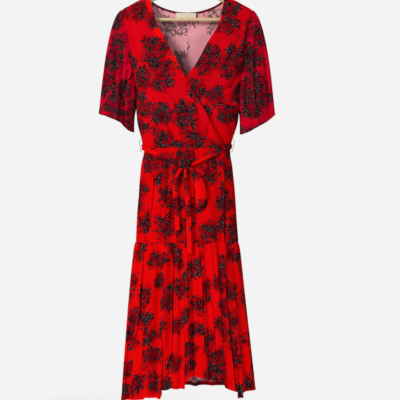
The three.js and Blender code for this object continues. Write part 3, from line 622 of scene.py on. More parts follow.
# The print, on the flat cloth: separate sprays of dark flowers, leaves and stems on a red ground,
# with wine red inside each spray. Its wrong side is paler. All lengths here are in metres.
SPRAYS = 14.0  # sprays to a metre
SPRAY_REACH = 0.42  # from a spray's middle, as a share of their spacing
GROUND_BRIGHT = (0.96, 0.002, 0.002, 1)
GROUND_RED = (0.80, 0.0, 0.0, 1)
GROUND_DEEP = (0.62, 0.0, 0.003, 1)
# painted light: a crimson cast, mixed into the red ground where the tone is above 0
PAINTED_CRIMSON_LIGHT = (0.55, 0.0, 0.022, 1)
GROUND_WINE = (0.17, 0.0, 0.005, 1)
INK_BLACK = (0.017, 0.001, 0.003, 1)
INK_GREY = (0.36, 0.31, 0.32, 1)
STITCH_RED = (0.25, 0.0, 0.01, 1)
WRONG_SIDE_LIGHT = (0.92, 0.42, 0.45, 1)
WRONG_SIDE_DEEP = (0.84, 0.33, 0.37, 1)
WRONG_SIDE_INK = (0.05, 0.045, 0.055, 1)


def edge_of(distance, softness=0.0005):
    """1 where a distance is above 0, with a soft edge."""
    return distance.math("DIVIDE", softness, clamp=True)


def spray_room(spot, tone):
    """How far inside a spray a spot lies, as a share of the sprays' spacing: each spray is a blob
    round its middle that noise makes uneven. They reach further where the tone is deep."""
    bent = spot.shift("ADD", spot.noise(9, 1, output=1).shift("SCALE", 0.042))
    inputs = {"Vector": bent, "Scale": SPRAYS, "Randomness": 0.8}
    distance = spot.node("ShaderNodeTexVoronoi", inputs, voronoi_dimensions="2D")
    return (spot.noise(24, 2) - 0.5) * 0.8 + SPRAY_REACH + tone * 0.05 - distance


def scatter(cloth, scale, shift, randomness):
    """A scatter's nearest middle, the way from it in x and y, and its three random numbers."""
    moved = cloth.shift("ADD", shift)
    inputs = {"Vector": moved, "Scale": scale, "Randomness": randomness}
    middle = moved.node("ShaderNodeTexVoronoi", inputs, "Position", voronoi_dimensions="2D")
    dice = moved.node("ShaderNodeTexVoronoi", inputs, "Color", voronoi_dimensions="2D")
    x, y, _ = moved.shift("SUBTRACT", middle).parts()
    return middle.shift("SUBTRACT", shift), x, y, dice.parts()


def blooms(cloth, tone, scale, size, share_filled, shift):
    """Five-petalled flowers: the petals' edge is a cosine of the angle, and some flowers are
    filled while the others are drawn in outline. Gives the ink and its grey."""
    middle, x, y, (turned, grown, kind) = scatter(cloth, scale, shift, 0.7)
    radius = (x * x + y * y).math("SQRT")
    angle = y.math("ARCTAN2", x)
    petal = (angle * 5 + turned * TAU).math("COSINE") * 0.5 + 0.5
    edge = (grown * 0.35 + 0.75) * size * (petal.math("POWER", 0.6) * 0.58 + 0.42)
    inside = edge_of(edge - radius)
    rim = inside - edge_of(edge - 0.0017 - radius)
    heart = edge_of(0.0026 - radius)
    lines = edge_of((angle * 15 + turned * 9).math("COSINE") - 0.8, 0.15)
    lines = lines * inside * edge_of(radius - 0.0032) * edge_of(edge * 0.86 - radius)
    gaps = edge_of(0.10 - petal, 0.05) * edge_of(radius - 0.004)
    gaps = gaps.math("MAXIMUM", edge_of(0.40 - cloth.noise(190, 2), 0.05))
    filled = kind < tone * 0.5 + share_filled
    spray = spray_room(middle, tone) > 0
    body = inside * filled * (1 - gaps)
    ink = rim.math("MAXIMUM", heart).math("MAXIMUM", lines).math("MAXIMUM", body)
    return ink * spray, lines * filled * spray


def leaves(cloth, tone, scale, length, width, shift, room=0.0):
    """Pointed leaves: the half-width falls as a parabola to both ends, round a bent midrib. Gives
    the ink and its grey midrib. Room lets them stand past the flowers' reach."""
    middle, x, y, (turned, grown, _) = scatter(cloth, scale, shift, 0.9)
    sine, cosine = (turned * TAU).math("SINE"), (turned * TAU).math("COSINE")
    along, aside = x * cosine + y * sine, y * cosine - x * sine
    part = along / ((grown * 0.4 + 0.75) * length)
    bent = (aside + part * part * width * 0.9).math("ABSOLUTE")
    inside = edge_of((1 - part * part) * width - bent, 0.0004) * edge_of(cloth.noise(240, 2) - 0.38, 0.05)
    spray = spray_room(middle, tone) > -room
    return inside * spray, inside * spray * edge_of(0.0006 - bent, 0.0003)


def flower_print(start):
    """The print at each place of the flat cloth: the place, the tone, how deep inside a spray it
    is, how much ink there is, and how grey that is."""
    cloth = start.node("ShaderNodeUVMap", uv_map="cloth")
    tone = start.node("ShaderNodeAttribute", attribute_name="tone", output=2)
    sway = cloth.noise(26, 1, output=1).shift("SUBTRACT", (0.5, 0.5, 0.5)).shift("SCALE", 0.012)
    swayed = cloth.shift("ADD", sway)
    large, large_grey = blooms(swayed, tone, scale=27, size=0.0170, share_filled=0.48, shift=(0, 0, 0))
    apart = (0.317, 0.171, 0)
    small, small_grey = blooms(swayed, tone, scale=38, size=0.0112, share_filled=0.55, shift=apart)
    leaf, rib = leaves(swayed, tone, 42, 0.0135, 0.0042, shift=(0.013, 0.007, 0), room=0.04)
    bud, bud_rib = leaves(swayed, tone, 66, 0.0080, 0.0026, shift=(0.057, 0.021, 0), room=0.09)
    inputs = {"Vector": swayed, "Scale": 24.0}
    vein = cloth.node("ShaderNodeTexVoronoi", inputs, voronoi_dimensions="2D", feature="DISTANCE_TO_EDGE")
    room = spray_room(swayed, tone)
    stem = edge_of(0.024 - vein, 0.01) * edge_of(room + 0.04, 0.02)
    speck = edge_of(cloth.noise(300, 2) - 0.54, 0.06)
    ink = large.math("MAXIMUM", small).math("MAXIMUM", leaf).math("MAXIMUM", bud).math("MAXIMUM", stem)
    grey = (large_grey + small_grey * 0.9 + rib * 0.7 + bud_rib * 0.4) * (0.15 + speck * 0.85)
    return cloth, tone, room, ink, grey.math("MULTIPLY", 1, clamp=True)


def stitch_row(start, along, to_a_metre, sewn_share, half):
    """1 on the row of stitches and 0 off it: dashes along it, within the half-width of the row."""
    off = start.node("ShaderNodeAttribute", attribute_name="stitch", output=2).math("ABSOLUTE")
    dashes = edge_of(sewn_share - (along * to_a_metre).math("FRACT"), 0.1)
    return edge_of(half - off, 0.0002) * dashes


def weave_bump(start, cloth):
    """The height of a fine plain weave with slubs: two crossed waves and a fine noise."""
    across, down, _ = cloth.parts()
    threads = (across * 9000).math("SINE") * (down * 9000).math("SINE")
    slub = cloth.shift("MULTIPLY", (1.0, 0.12, 1.0)).noise(1400, 2)
    height = threads * 0.2 + slub
    return start.node("ShaderNodeBump", {"Strength": 0.35, "Distance": 0.00025, "Height": height})


right_side, cloth_shader, start = new_material("printed_cloth_right_side")
cloth, tone, room, ink, grey = flower_print(start)
# Where the tone is above 0 the ground takes on painted crimson light; where it is below 0 it turns a
# brighter red.
ground = (tone * 1.1).mix(cloth.noise(14, 3).mix(GROUND_RED, GROUND_DEEP), PAINTED_CRIMSON_LIGHT)
ground = (tone * -1.2).mix(ground, GROUND_BRIGHT)
shade = (room + 0.14).math("MULTIPLY", 2.4, clamp=True) * (0.35 + cloth.noise(60, 2) * 0.85)
ground = shade.mix(ground, GROUND_WINE)
dark = grey.mix(INK_BLACK, INK_GREY)
across, down, _ = cloth.parts()
stitches = stitch_row(start, across + down, to_a_metre=380, sewn_share=0.7, half=0.0004)
printed = ink.mix(ground, dark)
feed(cloth_shader, {
    "Base Color": stitches.mix(printed, STITCH_RED),
    "Roughness": 0.85 - ink * 0.1,
    "Normal": weave_bump(start, cloth),
    "Specular IOR Level": 0.03,
    "Sheen Weight": 0.05,
    "Sheen Roughness": 0.5,
    "Sheen Tint": (0.9, 0.1, 0.25, 1),
})

wrong_side, inner_shader, start = new_material("printed_cloth_wrong_side")
cloth, tone, room, ink, grey = flower_print(start)
pale = cloth.noise(18, 3).mix(WRONG_SIDE_LIGHT, WRONG_SIDE_DEEP)
shown = ink * (0.55 + cloth.noise(260, 2) * 0.5)
feed(inner_shader, {
    "Base Color": shown.mix(pale, WRONG_SIDE_INK),
    "Roughness": 0.82,
    "Normal": weave_bump(start, cloth),
    "Specular IOR Level": 0.04,
})

FRONT_CREASES = [
    # across and drop at the start, the same at the end, bow, half-width, depth
    (-168, 185, -112, 335, 10, 9, 2.6),
    (-120, 150, -96, 300, -6, 10, 2.0),
    (-22, 585, -95, 430, 9, 7, 3.2),
    (-45, 560, -128, 468, 6, 6, 2.4),
    (-4, 556, -48, 398, 10, 7, 2.6),
    (20, 552, -8, 412, -7, 7, 2.2),
    (-158, 335, -112, 404, 7, 6, 2.8),
    (-160, 362, -128, 455, 6, 6, 2.4),
    (-150, 470, -116, 548, -6, 6, 2.0),
    (-84, 236, -52, 352, -7, 8, 2.2),
    (-60, 300, -120, 380, 8, 9, 1.8),
    (40, 548, 28, 430, 6, 7, 2.2),
    (66, 556, 74, 476, -5, 6, 2.0),
    (168, 185, 118, 320, -9, 9, 2.4),
    (158, 338, 104, 400, -8, 6, 3.0),
    (156, 366, 108, 470, -9, 7, 2.6),
    (118, 560, 60, 400, -10, 7, 2.8),
    (142, 560, 112, 452, 6, 6, 2.2),
    (92, 560, 30, 420, -8, 8, 2.0),
    (82, 150, 70, 262, 6, 9, 1.8),
    (48, 300, 96, 360, 7, 8, 1.8),
]
NECK_COLUMNS = 5 / 12  # share of a back panel's columns that end at the neck
NO_FINISH = 99  # stands for the distance from a finished edge where there is none
BACK_CREASES = [
    # the same, on the back
    (-150, 190, -60, 300, 10, 10, 2.2),
    (152, 196, 70, 318, -11, 10, 2.4),
    (-156, 350, -92, 452, 9, 7, 2.6),
    (158, 344, 84, 430, -9, 7, 2.4),
    (-104, 556, -70, 430, 6, 8, 2.4),
    (-48, 560, -30, 420, -7, 8, 2.0),
    (22, 560, 40, 402, 7, 9, 2.2),
    (78, 558, 60, 440, -6, 7, 2.4),
    (122, 556, 140, 452, 6, 6, 2.0),
    (-132, 548, -142, 446, -5, 6, 2.0),
    (-60, 190, 44, 222, 12, 12, 1.4),
]


def bodice_wall(name, node, face, side, columns, rows, shift):
    """A bodice panel from its grid of angle and drop: the body's surface with its creases,
    puckers at the waist and dips into its seams, laid out flat by lengths along its rows."""
    u, v = np.meshgrid(np.linspace(0, 1, columns), np.linspace(0, 1, rows))
    row = v**1.5  # closer together at the shoulder, where the cloth bends
    side_angle = np.pi if side < 0 else 0
    if face == FRONT:
        edge_drop = NECK_POINT[1] + (WAIST_DROP - NECK_POINT[1]) * row
        side_drop = SHOULDER_POINT[1] + (WAIST_DROP - SHOULDER_POINT[1]) * row
        over, under = smooth_rows(FRONT_EDGE, edge_drop)
        edge_angle = angle_across(over if side < 0 else -under, edge_drop)
        angle = edge_angle + (side_angle - edge_angle) * u
        top_edge = angle_across(side * NECK_POINT[0], NECK_POINT[1])
        top_angle = top_edge + (side_angle - top_edge) * u
        top_out = SHOULDER_POINT[0] * np.abs(np.cos(top_angle)) ** (2 / ROUNDNESS)
        bow = smooth_rows(SHOULDER_LINE, top_out)[0]
        chord = NECK_POINT[1] + (SHOULDER_POINT[1] - NECK_POINT[1]) * u
        drop = edge_drop + (side_drop - edge_drop) * u + (bow - chord) * (1 - row) ** 4
        upper_edge = smooth_rows(FRONT_EDGE, drop)[0]
        inset = 0 if side < 0 else lap_inset(angle, drop, upper_edge)
        grid = body_point(face, angle, drop, -inset)
    else:
        neck = angle_across(*NECK_POINT)
        turn = np.interp(u, (0, NECK_COLUMNS, 1), (np.pi / 2, neck, 0))
        out = SHOULDER_POINT[0] * np.cos(turn) ** (2 / ROUNDNESS)
        neck_drop, line_drop = smooth_rows(BACK_NECK, out)[0], smooth_rows(SHOULDER_LINE, out)[0]
        top = np.where(out < NECK_POINT[0], neck_drop, line_drop)
        drop = top + (WAIST_DROP - top) * row
        grid = body_point(face, turn if side > 0 else np.pi - turn, drop)
    middle = grid * np.array([0, 0, 1])
    normal = outward(grid, middle)
    x = grid[..., 0]
    from_waist = WAIST_DROP - drop
    in_rows, in_columns = run_lengths(grid, 1), run_lengths(grid, 0)
    from_edge, from_side = in_rows, in_rows[:, -1:] - in_rows
    from_top = in_columns
    table = FRONT_CREASES if face == FRONT else BACK_CREASES
    held = smooth_step(from_top, 0, 30) * smooth_step(from_side, 0, 10)
    dip = (1.9 * creases(x, drop, table) + ripples(x + 40 * side, drop)) * held
    dip = dip * smooth_step(from_waist, 0, 14)
    dip += puckers(x, from_waist, spacing=10.5, depth=1.7, reach=34)
    dip += groove(from_waist) + groove(from_side) + groove(from_top, 0.7)
    if face == BACK:
        dip += groove(in_rows)
    grid = grid - normal * dip[..., None]
    place = np.stack([side * -from_side, -drop], -1)
    finished = from_edge if face == FRONT else np.where(out < NECK_POINT[0], from_top, NO_FINISH)
    thickness = thickness_at(finished, EDGE_STITCH - 0.5, EDGE_STITCH + 1.5)
    normal = outward(grid, middle)
    # The tone crowds the print above the waist and paints a slight crimson cast of light on the upper
    # bodice.
    tone = 0.2 * smooth_step(from_waist, 0, 130)
    if face == FRONT and side < 0:
        bright_edge = (1 - smooth_step(from_edge, 9, 20)) * smooth_step(from_waist, 190, 260)
        tone = tone - 1.3 * bright_edge
    piece = cloth_wall(name, node, grid, normal, place, thickness, finished - EDGE_STITCH, shift, tone=tone)
    declare_cut(grid)


PANELS = [
    # piece, node, face, side, columns, rows, place of the cut in the print
    ("front_right_cloth", "bodice_front_right", FRONT, -1, 100, 140, (2.52, 1.32)),
    ("front_left_cloth", "bodice_front_left", FRONT, 1, 100, 140, (0.43, 0.92)),
    ("back_right_cloth", "bodice_back_right", BACK, -1, 76, 120, (1.27, 0.28)),
    ("back_left_cloth", "bodice_back_left", BACK, 1, 76, 120, (1.64, 0.71)),
]
for piece_name, node, face, side, columns, rows, shift in PANELS:
    bodice_wall(piece_name, node, face, side, columns, rows, shift)


# The sleeves: short flared tubes, sewn into the armholes over the ends of the hanger, that hang in
# loose flutes down to a turned and stitched hem.

UNDERARM_DROP = 380
CUFF_INNER, CUFF_OUTER, CUFF_DEPTH = 162, 268, 30
CUFF_INNER_DROP, CUFF_OUTER_DROP, CUFF_FRONT_DIP = 512, 460, 6
SLEEVE_HEM = 14
# crowds the sleeves' print and paints a crimson cast of light on their ground
SLEEVE_CROWDING_AND_PAINTED_LIGHT = 0.72
SLEEVE_FULLNESS = 1.12  # of the cloth over the width that it hangs in
SLEEVE_BACK_HIGHER = 18  # creases behind lie so much higher than in front
SLEEVE_CREASES = [
    # across and drop at the start, the same at the end, bow, half-width, depth
    (-216, 186, -224, 476, -4, 6, 9),
    (-178, 330, -188, 508, 4, 5, 8),
    (-196, 250, -204, 500, -6, 5, 5),
    (-234, 230, -248, 468, 5, 5, 5),
    (-168, 300, -206, 372, 8, 6, 4),
    (192, 190, 186, 470, 5, 8, 10),
    (170, 300, 174, 500, -4, 6, 7),
    (208, 220, 220, 484, 6, 6, 6),
    (232, 240, 250, 470, -4, 5, 5),
    (166, 300, 204, 380, -8, 7, 4),
]
HEM_CHANGES = {  # from the underarm's fold to the outer one, and how much lower the hem hangs
    -1: np.array([(0, 3), (0.2, 0), (0.34, -10), (0.5, -14), (0.83, -9), (1, -2)], float),
    1: np.array([(0, 9), (0.2, 9), (0.5, 6), (0.8, 5), (1, 2)], float),
}


def sleeve_grid(side, columns, rows):
    """Rings from the armhole's edge to the hem: each line between them is a parabola that bends
    over the hanger's end at the top and hangs straight at the underarm."""
    around, along = np.meshgrid(np.arange(columns) / columns, np.linspace(0, 1, rows))
    face = np.where(around < 0.5, -1, 1)
    climb = 1 - np.abs(2 * around - 1)
    drop = SHOULDER_POINT[1] + (UNDERARM_DROP - SHOULDER_POINT[1]) * (1 - climb) ** 2
    end_angle = np.full_like(drop, 0.004 if side > 0 else np.pi - 0.004)
    front, back = body_point(FRONT, end_angle, drop), body_point(BACK, end_angle, drop)
    start = np.where((around < 0.5)[..., None], front, back)
    start[..., 0] -= 1.2 * side
    start[..., 1] *= smooth_step(climb, 0, 0.05) * smooth_step(1 - climb, 0, 0.05)
    turn = np.pi * climb
    wave = 7 * np.sin(turn) * np.cos(4 * turn) + 2.2 * np.sin(turn) * np.cos(9 * turn + face)
    fold = (1 - np.cos(turn)) / 2
    x = side * (CUFF_INNER + (CUFF_OUTER - CUFF_INNER) * fold)
    y = face * (CUFF_DEPTH * np.sin(turn) ** 0.8 + wave)
    z = -(CUFF_INNER_DROP + (CUFF_OUTER_DROP - CUFF_INNER_DROP) * fold) - CUFF_FRONT_DIP * np.sin(turn)
    z = z - smooth_rows(HEM_CHANGES[side], fold)[0]
    end = np.stack([x, y, z], -1)
    share = np.stack([0.5 + 0.13 * climb, 0.5 + 0 * climb, 0.46 - 0.435 * climb**1.5], -1)
    bend = start + (end - start) * share
    bend[..., 1] *= 1.1
    t = along[..., None]
    grid = start * (1 - t) ** 2 + bend * 2 * t * (1 - t) + end * t * t
    drop = -grid[..., 2]
    beside = smooth_step(drop, 380, 402) * (1 - smooth_step(drop, 436, 470))
    grid[..., 0] -= 4 * side * beside * np.exp(-((climb / 0.16) ** 2))
    return grid, face, climb


for piece_name, node, side, shift in [
    ("sleeve_right_cloth", "sleeve_right", -1, (2.61, 0.95)),
    ("sleeve_left_cloth", "sleeve_left", 1, (3.47, 2.51)),
]:
    grid, face, climb = sleeve_grid(side, 190, 100)
    middle = grid.mean(1, keepdims=True)
    normal = outward(grid, middle, wrap=True)
    x, drop = grid[..., 0], -grid[..., 2]
    from_top = run_lengths(grid, 0)
    from_hem = from_top[-1:] - from_top
    facing = np.abs(normal[..., 1])
    crease_drop = drop + SLEEVE_BACK_HIGHER * (face > 0)
    dip = creases(x, crease_drop, SLEEVE_CREASES) * facing * smooth_step(from_top, 4, 34)
    dip += ripples(x * 1.6, drop + 60 * face) * smooth_step(from_top, 0, 40) * facing
    dip += groove(from_top, 1.4, 2.6)
    dip += 0.5 * np.exp(-(((from_hem - SLEEVE_HEM) / 1.2) ** 2))
    around = run_lengths(grid, 1)
    dip += 0.5 * np.sin(TAU * around / 17 + np.sin(around / 23)) * (1 - smooth_step(from_hem, 3, 22))
    grid = grid - normal * dip[..., None]
    outer_fold = grid[:, np.argmax(climb[0])]
    fold_out = np.interp(-grid[..., 2], -outer_fold[:, 2], np.abs(outer_fold[:, 0]))
    in_from_fold = fold_out - np.abs(grid[..., 0])
    over = SLEEVE_FULLNESS * face * np.maximum(in_from_fold, 0)
    over = np.concatenate([over, -over[:, :1]], 1)
    place = np.stack([over, np.concatenate([grid[..., 2], grid[:, :1, 2]], 1)], -1)
    thickness = thickness_at(from_hem, SLEEVE_HEM - 1.5, SLEEVE_HEM + 1)
    normal = outward(grid, middle, wrap=True)
    piece = cloth_wall(piece_name, node, grid, normal, place, thickness, from_hem - SLEEVE_HEM, shift,
                       wrap=True, tone=SLEEVE_CROWDING_AND_PAINTED_LIGHT)
    declare_cut(grid, wrap=True)


# The neck's finish: a narrow strip of the cloth folded over the raw edge of the back, coloured a
# flat dark red instead of the print as painted shade along the neck edge, and a blank cream label of
# woven satin, with its ends turned under and sewn down inside the neck.

BINDING_REACH = 106
BINDING_HEIGHT = 7
BINDING_CLOTH = 14  # across, laid flat
BINDING_OUT = 1.35  # of each side from the edge that it covers
BINDING_COLUMNS, BINDING_ROWS = 150, 25
# painted shade: the binding's flat dark reds stand for the shadow along the back neck edge
BINDING_PAINTED_SHADE_DARK = (0.10, 0.0, 0.008, 1)
BINDING_PAINTED_SHADE_RED = (0.17, 0.002, 0.012, 1)
LABEL_EDGES = (-35.5, 27.5)
LABEL_TOP, LABEL_FOOT = 148.5, 171
LABEL_INSIDE = -3.0
LABEL_THICK = 0.5
LABEL_TURNED_MORE = 0.4
LABEL_STITCH_IN = 1.8  # from each end to its row of stitches
LABEL_CREAM = (0.86, 0.79, 0.62, 1)
LABEL_SHADE = (0.74, 0.66, 0.50, 1)
LABEL_STITCH = (0.42, 0.33, 0.22, 1)

# The binding is coloured a mottled dark red as painted shade, not with the print.
binding_cloth, binding_shader, start = new_material("binding_painted_shade")
cloth = start.node("ShaderNodeUVMap", uv_map="cloth")
feed(binding_shader, {
    "Base Color": cloth.noise(260, 2).mix(BINDING_PAINTED_SHADE_DARK, BINDING_PAINTED_SHADE_RED),
    "Roughness": 0.8,
    "Normal": weave_bump(start, cloth),
    "Specular IOR Level": 0.05,
})
label_cloth, label_shader, start = new_material("cream_label_satin")
cloth = start.node("ShaderNodeUVMap", uv_map="cloth")
across, down, _ = cloth.parts()
ribs = (down * 5200).math("SINE") * 0.5 + cloth.shift("MULTIPLY", (0.15, 1.0, 1.0)).noise(1500, 2)
sewn = stitch_row(start, down, to_a_metre=520, sewn_share=0.65, half=0.00035)
cream = cloth.noise(120, 3).mix(LABEL_CREAM, LABEL_SHADE)
feed(label_shader, {
    "Base Color": sewn.mix(cream, LABEL_STITCH),
    "Roughness": 0.5,
    "Normal": start.node("ShaderNodeBump", {"Strength": 0.3, "Distance": 0.0002, "Height": ribs}),
    "Specular IOR Level": 0.3,
    "Sheen Weight": 0.2,
})

along_neck = np.linspace(-BINDING_REACH, BINDING_REACH, BINDING_COLUMNS)
out, turn = np.meshgrid(along_neck, np.linspace(-1, 1, BINDING_ROWS))
drop = smooth_rows(BACK_NECK, np.abs(out))[0]
edge = body_point(BACK, angle_across(out, drop), drop)
lower = body_point(BACK, angle_across(out, drop + 6), drop + 6)
down = (lower - edge) / np.linalg.norm(lower - edge, axis=-1, keepdims=True)
away = np.cross(np.gradient(edge, axis=1), down)
away /= np.linalg.norm(away, axis=-1, keepdims=True)
wave = 1 + 0.08 * np.sin(out / 3.1) + 0.06 * np.sin(out / 7 + 1)
fall = BINDING_HEIGHT * (np.sqrt(turn**2 + 0.01) - 0.1) * wave - 1.1
binding_grid = edge + down * fall[..., None] + away * (BINDING_OUT * np.tanh(5 * turn))[..., None]
along = run_lengths(binding_grid, 1).mean(0)
place = np.stack(np.meshgrid(along, BINDING_CLOTH * np.linspace(0, 1, BINDING_ROWS)), -1)
normal = surface_normals(binding_grid)
thickness = np.full(turn.shape, CLOTH_THICK)
binding = cloth_wall("back_neck_binding_cloth", "back_neck_binding", binding_grid, normal, place,
                     thickness, stitch=9.0, finishes=[binding_cloth, binding_cloth])
declare_cut(binding_grid)

x, drop = np.meshgrid(np.linspace(*LABEL_EDGES, 70), np.linspace(LABEL_TOP, LABEL_FOOT, 30))
from_end = np.minimum(x - LABEL_EDGES[0], LABEL_EDGES[1] - x)
middle_bulge = 0.7 * smooth_step(from_end, 2, 16) + 0.25 * np.sin(x / 9) * np.sin(drop / 7)
label_grid = body_point(BACK, angle_across(x, drop), drop, LABEL_INSIDE)
label_grid[..., 1] -= middle_bulge
place = np.stack([x, -drop], -1)
label_thickness = LABEL_THICK + LABEL_TURNED_MORE * (1 - smooth_step(from_end, 2.6, 3.4))
normal = outward(label_grid, label_grid * np.array([1, 0, 1]))
label = cloth_wall("neck_label_satin", "neck_label", label_grid, normal, place, label_thickness,
                   from_end - LABEL_STITCH_IN, finishes=[label_cloth, label_cloth])
declare_cut(label_grid)


# The upper skirt: a wrapped front of two panels and a back, gathered into the waist seam, with the
# right front's free edge turned in and stitched.

TIER_DROP = 850
SKIRT_EDGE = np.array([
    # drop, across
    (566, 112),
    (720, 113),
    (850, 115),
    (1020, 119),
    (1330, 148),
], float)
DEEP_FOLDS = [
    # share of the girth, half-width, top, foot, depth
    (0.573, 0.016, 840, 1100, 8),
    (0.641, 0.018, 900, 1340, 10),
    (0.69, 0.018, 640, 1200, 10),
    (0.802, 0.018, 850, 1180, 9),
    (0.1, 0.018, 640, 1330, 9),
    (0.22, 0.02, 850, 1330, 10),
    (0.29, 0.018, 620, 1100, 9),
    (0.41, 0.018, 850, 1330, 10),
]
PLEATS = [
    # share of the girth, half-width, top, foot, overlap, and depth with the sign of the side on top
    (0.573, 0.019, 846, 1160, 15, 4.0),
    (0.600, 0.012, 990, 1290, 9, -2.6),
    (0.6650, 0.016, 1080, 1600, 15, 4.2),
    (0.690, 0.019, 834, 1230, 16, 4.2),
    (0.7400, 0.013, 1060, 1600, 11, 3.0),
    (0.764, 0.013, 900, 1190, 9, -2.8),
    (0.802, 0.019, 850, 1200, 16, 4.0),
    (0.840, 0.014, 960, 1330, 11, 3.2),
    (0.9115, 0.0058, 1120, 1600, 7, -2.4),
    (0.9225, 0.0058, 1120, 1600, 7, 2.4),
    (0.960, 0.014, 900, 1260, 10, 3.0),
    (0.535, 0.014, 1000, 1600, 10, 3.0),
    (0.100, 0.018, 700, 1600, 14, 3.8),
    (0.160, 0.014, 940, 1600, 11, -3.2),
    (0.220, 0.019, 852, 1600, 15, 4.0),
    (0.290, 0.017, 660, 1140, 13, -3.6),
    (0.350, 0.014, 960, 1600, 11, 3.2),
    (0.410, 0.018, 850, 1600, 15, -3.8),
    (0.040, 0.013, 980, 1400, 10, 3.0),
    (0.602, 0.013, 590, 790, 9, 2.8),
    (0.668, 0.012, 640, 850, 8, -2.6),
    (0.760, 0.012, 690, 850, 8, 2.6),
]
SKIRT_CREASES = [
    # across and drop at the start, the same at the end, bow, half-width, depth
    (-112, 600, -84, 720, 6, 8, 2.4),
    (-60, 610, -72, 760, -8, 9, 2.2),
    (62, 606, 84, 742, 7, 9, 2.2),
    (-132, 700, -100, 840, 7, 9, 2.0),
    (20, 690, 60, 836, -8, 10, 2.0),
    (-90, 900, -120, 1120, 10, 10, 2.6),
    (-30, 930, -60, 1180, -12, 11, 2.4),
    (70, 900, 96, 1100, 9, 10, 2.6),
    (130, 980, 150, 1220, 10, 10, 2.4),
    (-150, 1010, -160, 1240, -8, 9, 2.2),
    (10, 1090, 44, 1230, 10, 12, 2.0),
]
HEM = np.array([
    # share of the girth, drop
    (0.0, 1301),
    (0.1, 1300),
    (0.4, 1301),
    (0.47, 1316),
    (0.5, 1331),
    (0.53, 1326),
    (0.56, 1320),
    (0.605, 1316),
    (0.618, 1308),
    (0.656, 1310),
    (0.669, 1285),
    (0.687, 1284),
    (0.699, 1279),
    (0.718, 1281),
    (0.7345, 1280),
    (0.7405, 1267),
    (0.752, 1258),
    (0.762, 1245),
    (0.795, 1246),
    (0.811, 1257),
    (0.864, 1259),
    (0.876, 1280),
    (0.892, 1288),
    (0.9085, 1294),
    (0.9140, 1312),
    (0.9195, 1312),
    (0.925, 1298),
    (0.96, 1294),
    (1.0, 1301),
], float)
HEM_ALLOWANCE = 12  # from the free edge to its row of stitches
FOLD_FADE = 60
GIRTH = 1240
TUCK = 1.2  # of each gathered edge, up and in under the piece above it
UNDER_START = 0.66
SKIRT_GATHERS = (13, 0.9, 566, 850, 3, 9)  # count, unevenness, top, foot, depth at each
TIER_GATHERS = (21, 1.0, 850, 1330, 7, 12)
SKIRT_PUCKERS = (11, 1.8, 42)  # spacing, depth and reach at the seam above
TIER_PUCKERS = (9.5, 2.6, 66)
TIER_PUFF = 3  # how far the tier springs out below its seam
SKIRT_BACK_HIGHER = 23  # creases behind lie so much higher than in front
NO_FREE_EDGE = 999  # stands for the distance from one in a panel that has none
CROWDING_DROP = 1100  # where the columns are spread over a panel's width
SKIRT_OVAL = (155, 60)  # half its width and depth, by which the girth is shared out
SKIRT_TONE, TIER_TONE = -0.2, -0.36

quarter_turn = np.linspace(0, np.pi / 2, 401)
oval_x = SKIRT_OVAL[0] * np.maximum(np.cos(quarter_turn), 0) ** (2 / ROUNDNESS)
oval_y = SKIRT_OVAL[1] * np.sin(quarter_turn) ** (2 / ROUNDNESS)
steps = np.hypot(np.diff(oval_x), np.diff(oval_y))
quarter_part = np.concatenate([[0], np.cumsum(steps)]) / steps.sum()


def angle_of_share(share):
    """The angle at a share of the girth, even along the skirt's oval: 0 at the left side seam,
    0.25 at the middle of the back, 0.5 at the right side seam, 0.75 at the middle front."""
    folded = np.where(share <= 0.5, share, 1 - share)
    near = np.where(folded <= 0.25, folded, 0.5 - folded)
    angle = np.interp(near * 4, quarter_part, quarter_turn)
    return np.where(folded <= 0.25, angle, np.pi - angle)


def share_across(x, drop):
    """The share of the girth at a place across the front."""
    angle = angle_across(x, drop)
    folded = np.where(angle <= np.pi / 2, angle, np.pi - angle)
    part = np.interp(folded, quarter_turn, quarter_part) / 4
    return np.where(angle <= np.pi / 2, 1 - part, 0.5 + part)


def gather_dip(gathers, share, drop):
    """Uneven waves round the girth that deepen downwards and vanish at the side seams."""
    count, uneven, top, foot, depth_top, depth_foot = gathers
    turn = TAU * share
    wander = np.sin(3 * turn) + 0.6 * np.sin(4 * turn) + 0.4 * np.sin(7 * turn)
    swell = 1 + 0.3 * np.sin(4 * turn + 0.7)
    down = (drop - top) / (foot - top)
    wave = 0.5 - 0.5 * np.cos(count * turn + uneven * wander)
    return (depth_top + (depth_foot - depth_top) * down) * swell * wave**1.5


def fold_dip(share, drop):
    """The deepest single folds: raised cosines across, faded out at both ends."""
    dip = 0 * drop
    for middle, half, top, foot, depth in DEEP_FOLDS:
        aside = np.minimum(np.abs(share - middle) / half, 1)
        along = smooth_step(drop, top, top + FOLD_FADE) * (1 - smooth_step(drop, foot - FOLD_FADE, foot))
        dip = dip + depth * along * (0.5 + 0.5 * np.cos(np.pi * aside))
    return dip


def lay_pleats(share, drop):
    """Pleats that lie over themselves: the share of the girth where each share of the cloth comes
    to lie, and how far it stands off. Across a pleat t goes from -1 to 1, and t(1 - t^2)^2 swings
    to both sides: the cloth moves back by the overlap's share of it, and one side lies on top."""
    moved, lift = share, 0 * drop
    for middle, half, top, foot, overlap, depth in PLEATS:
        t = np.clip((share - middle) / half, -1, 1)
        begun = smooth_step(drop, top, top + 1.6 * FOLD_FADE)
        ended = 1 - smooth_step(drop, foot - FOLD_FADE, foot)
        swing = 3.5 * t * (1 - t * t) ** 2 * begun * ended
        moved = moved - swing * overlap / GIRTH
        lift = lift - swing * depth
    return moved, lift


def crowded(columns, begin, end):
    """Places of columns from 0 to 1, which stand closer together across the pleats."""
    fine = np.linspace(0, 1, 3000)
    share = begin + (end - begin) * fine
    near = sum(np.exp(-(((share - pleat[0]) / pleat[1]) ** 4)) for pleat in PLEATS)
    total = np.cumsum(1 + 2 * np.minimum(near, 1))
    return np.interp(np.linspace(0, 1, columns), (total - total[0]) / (total[-1] - total[0]), fine)


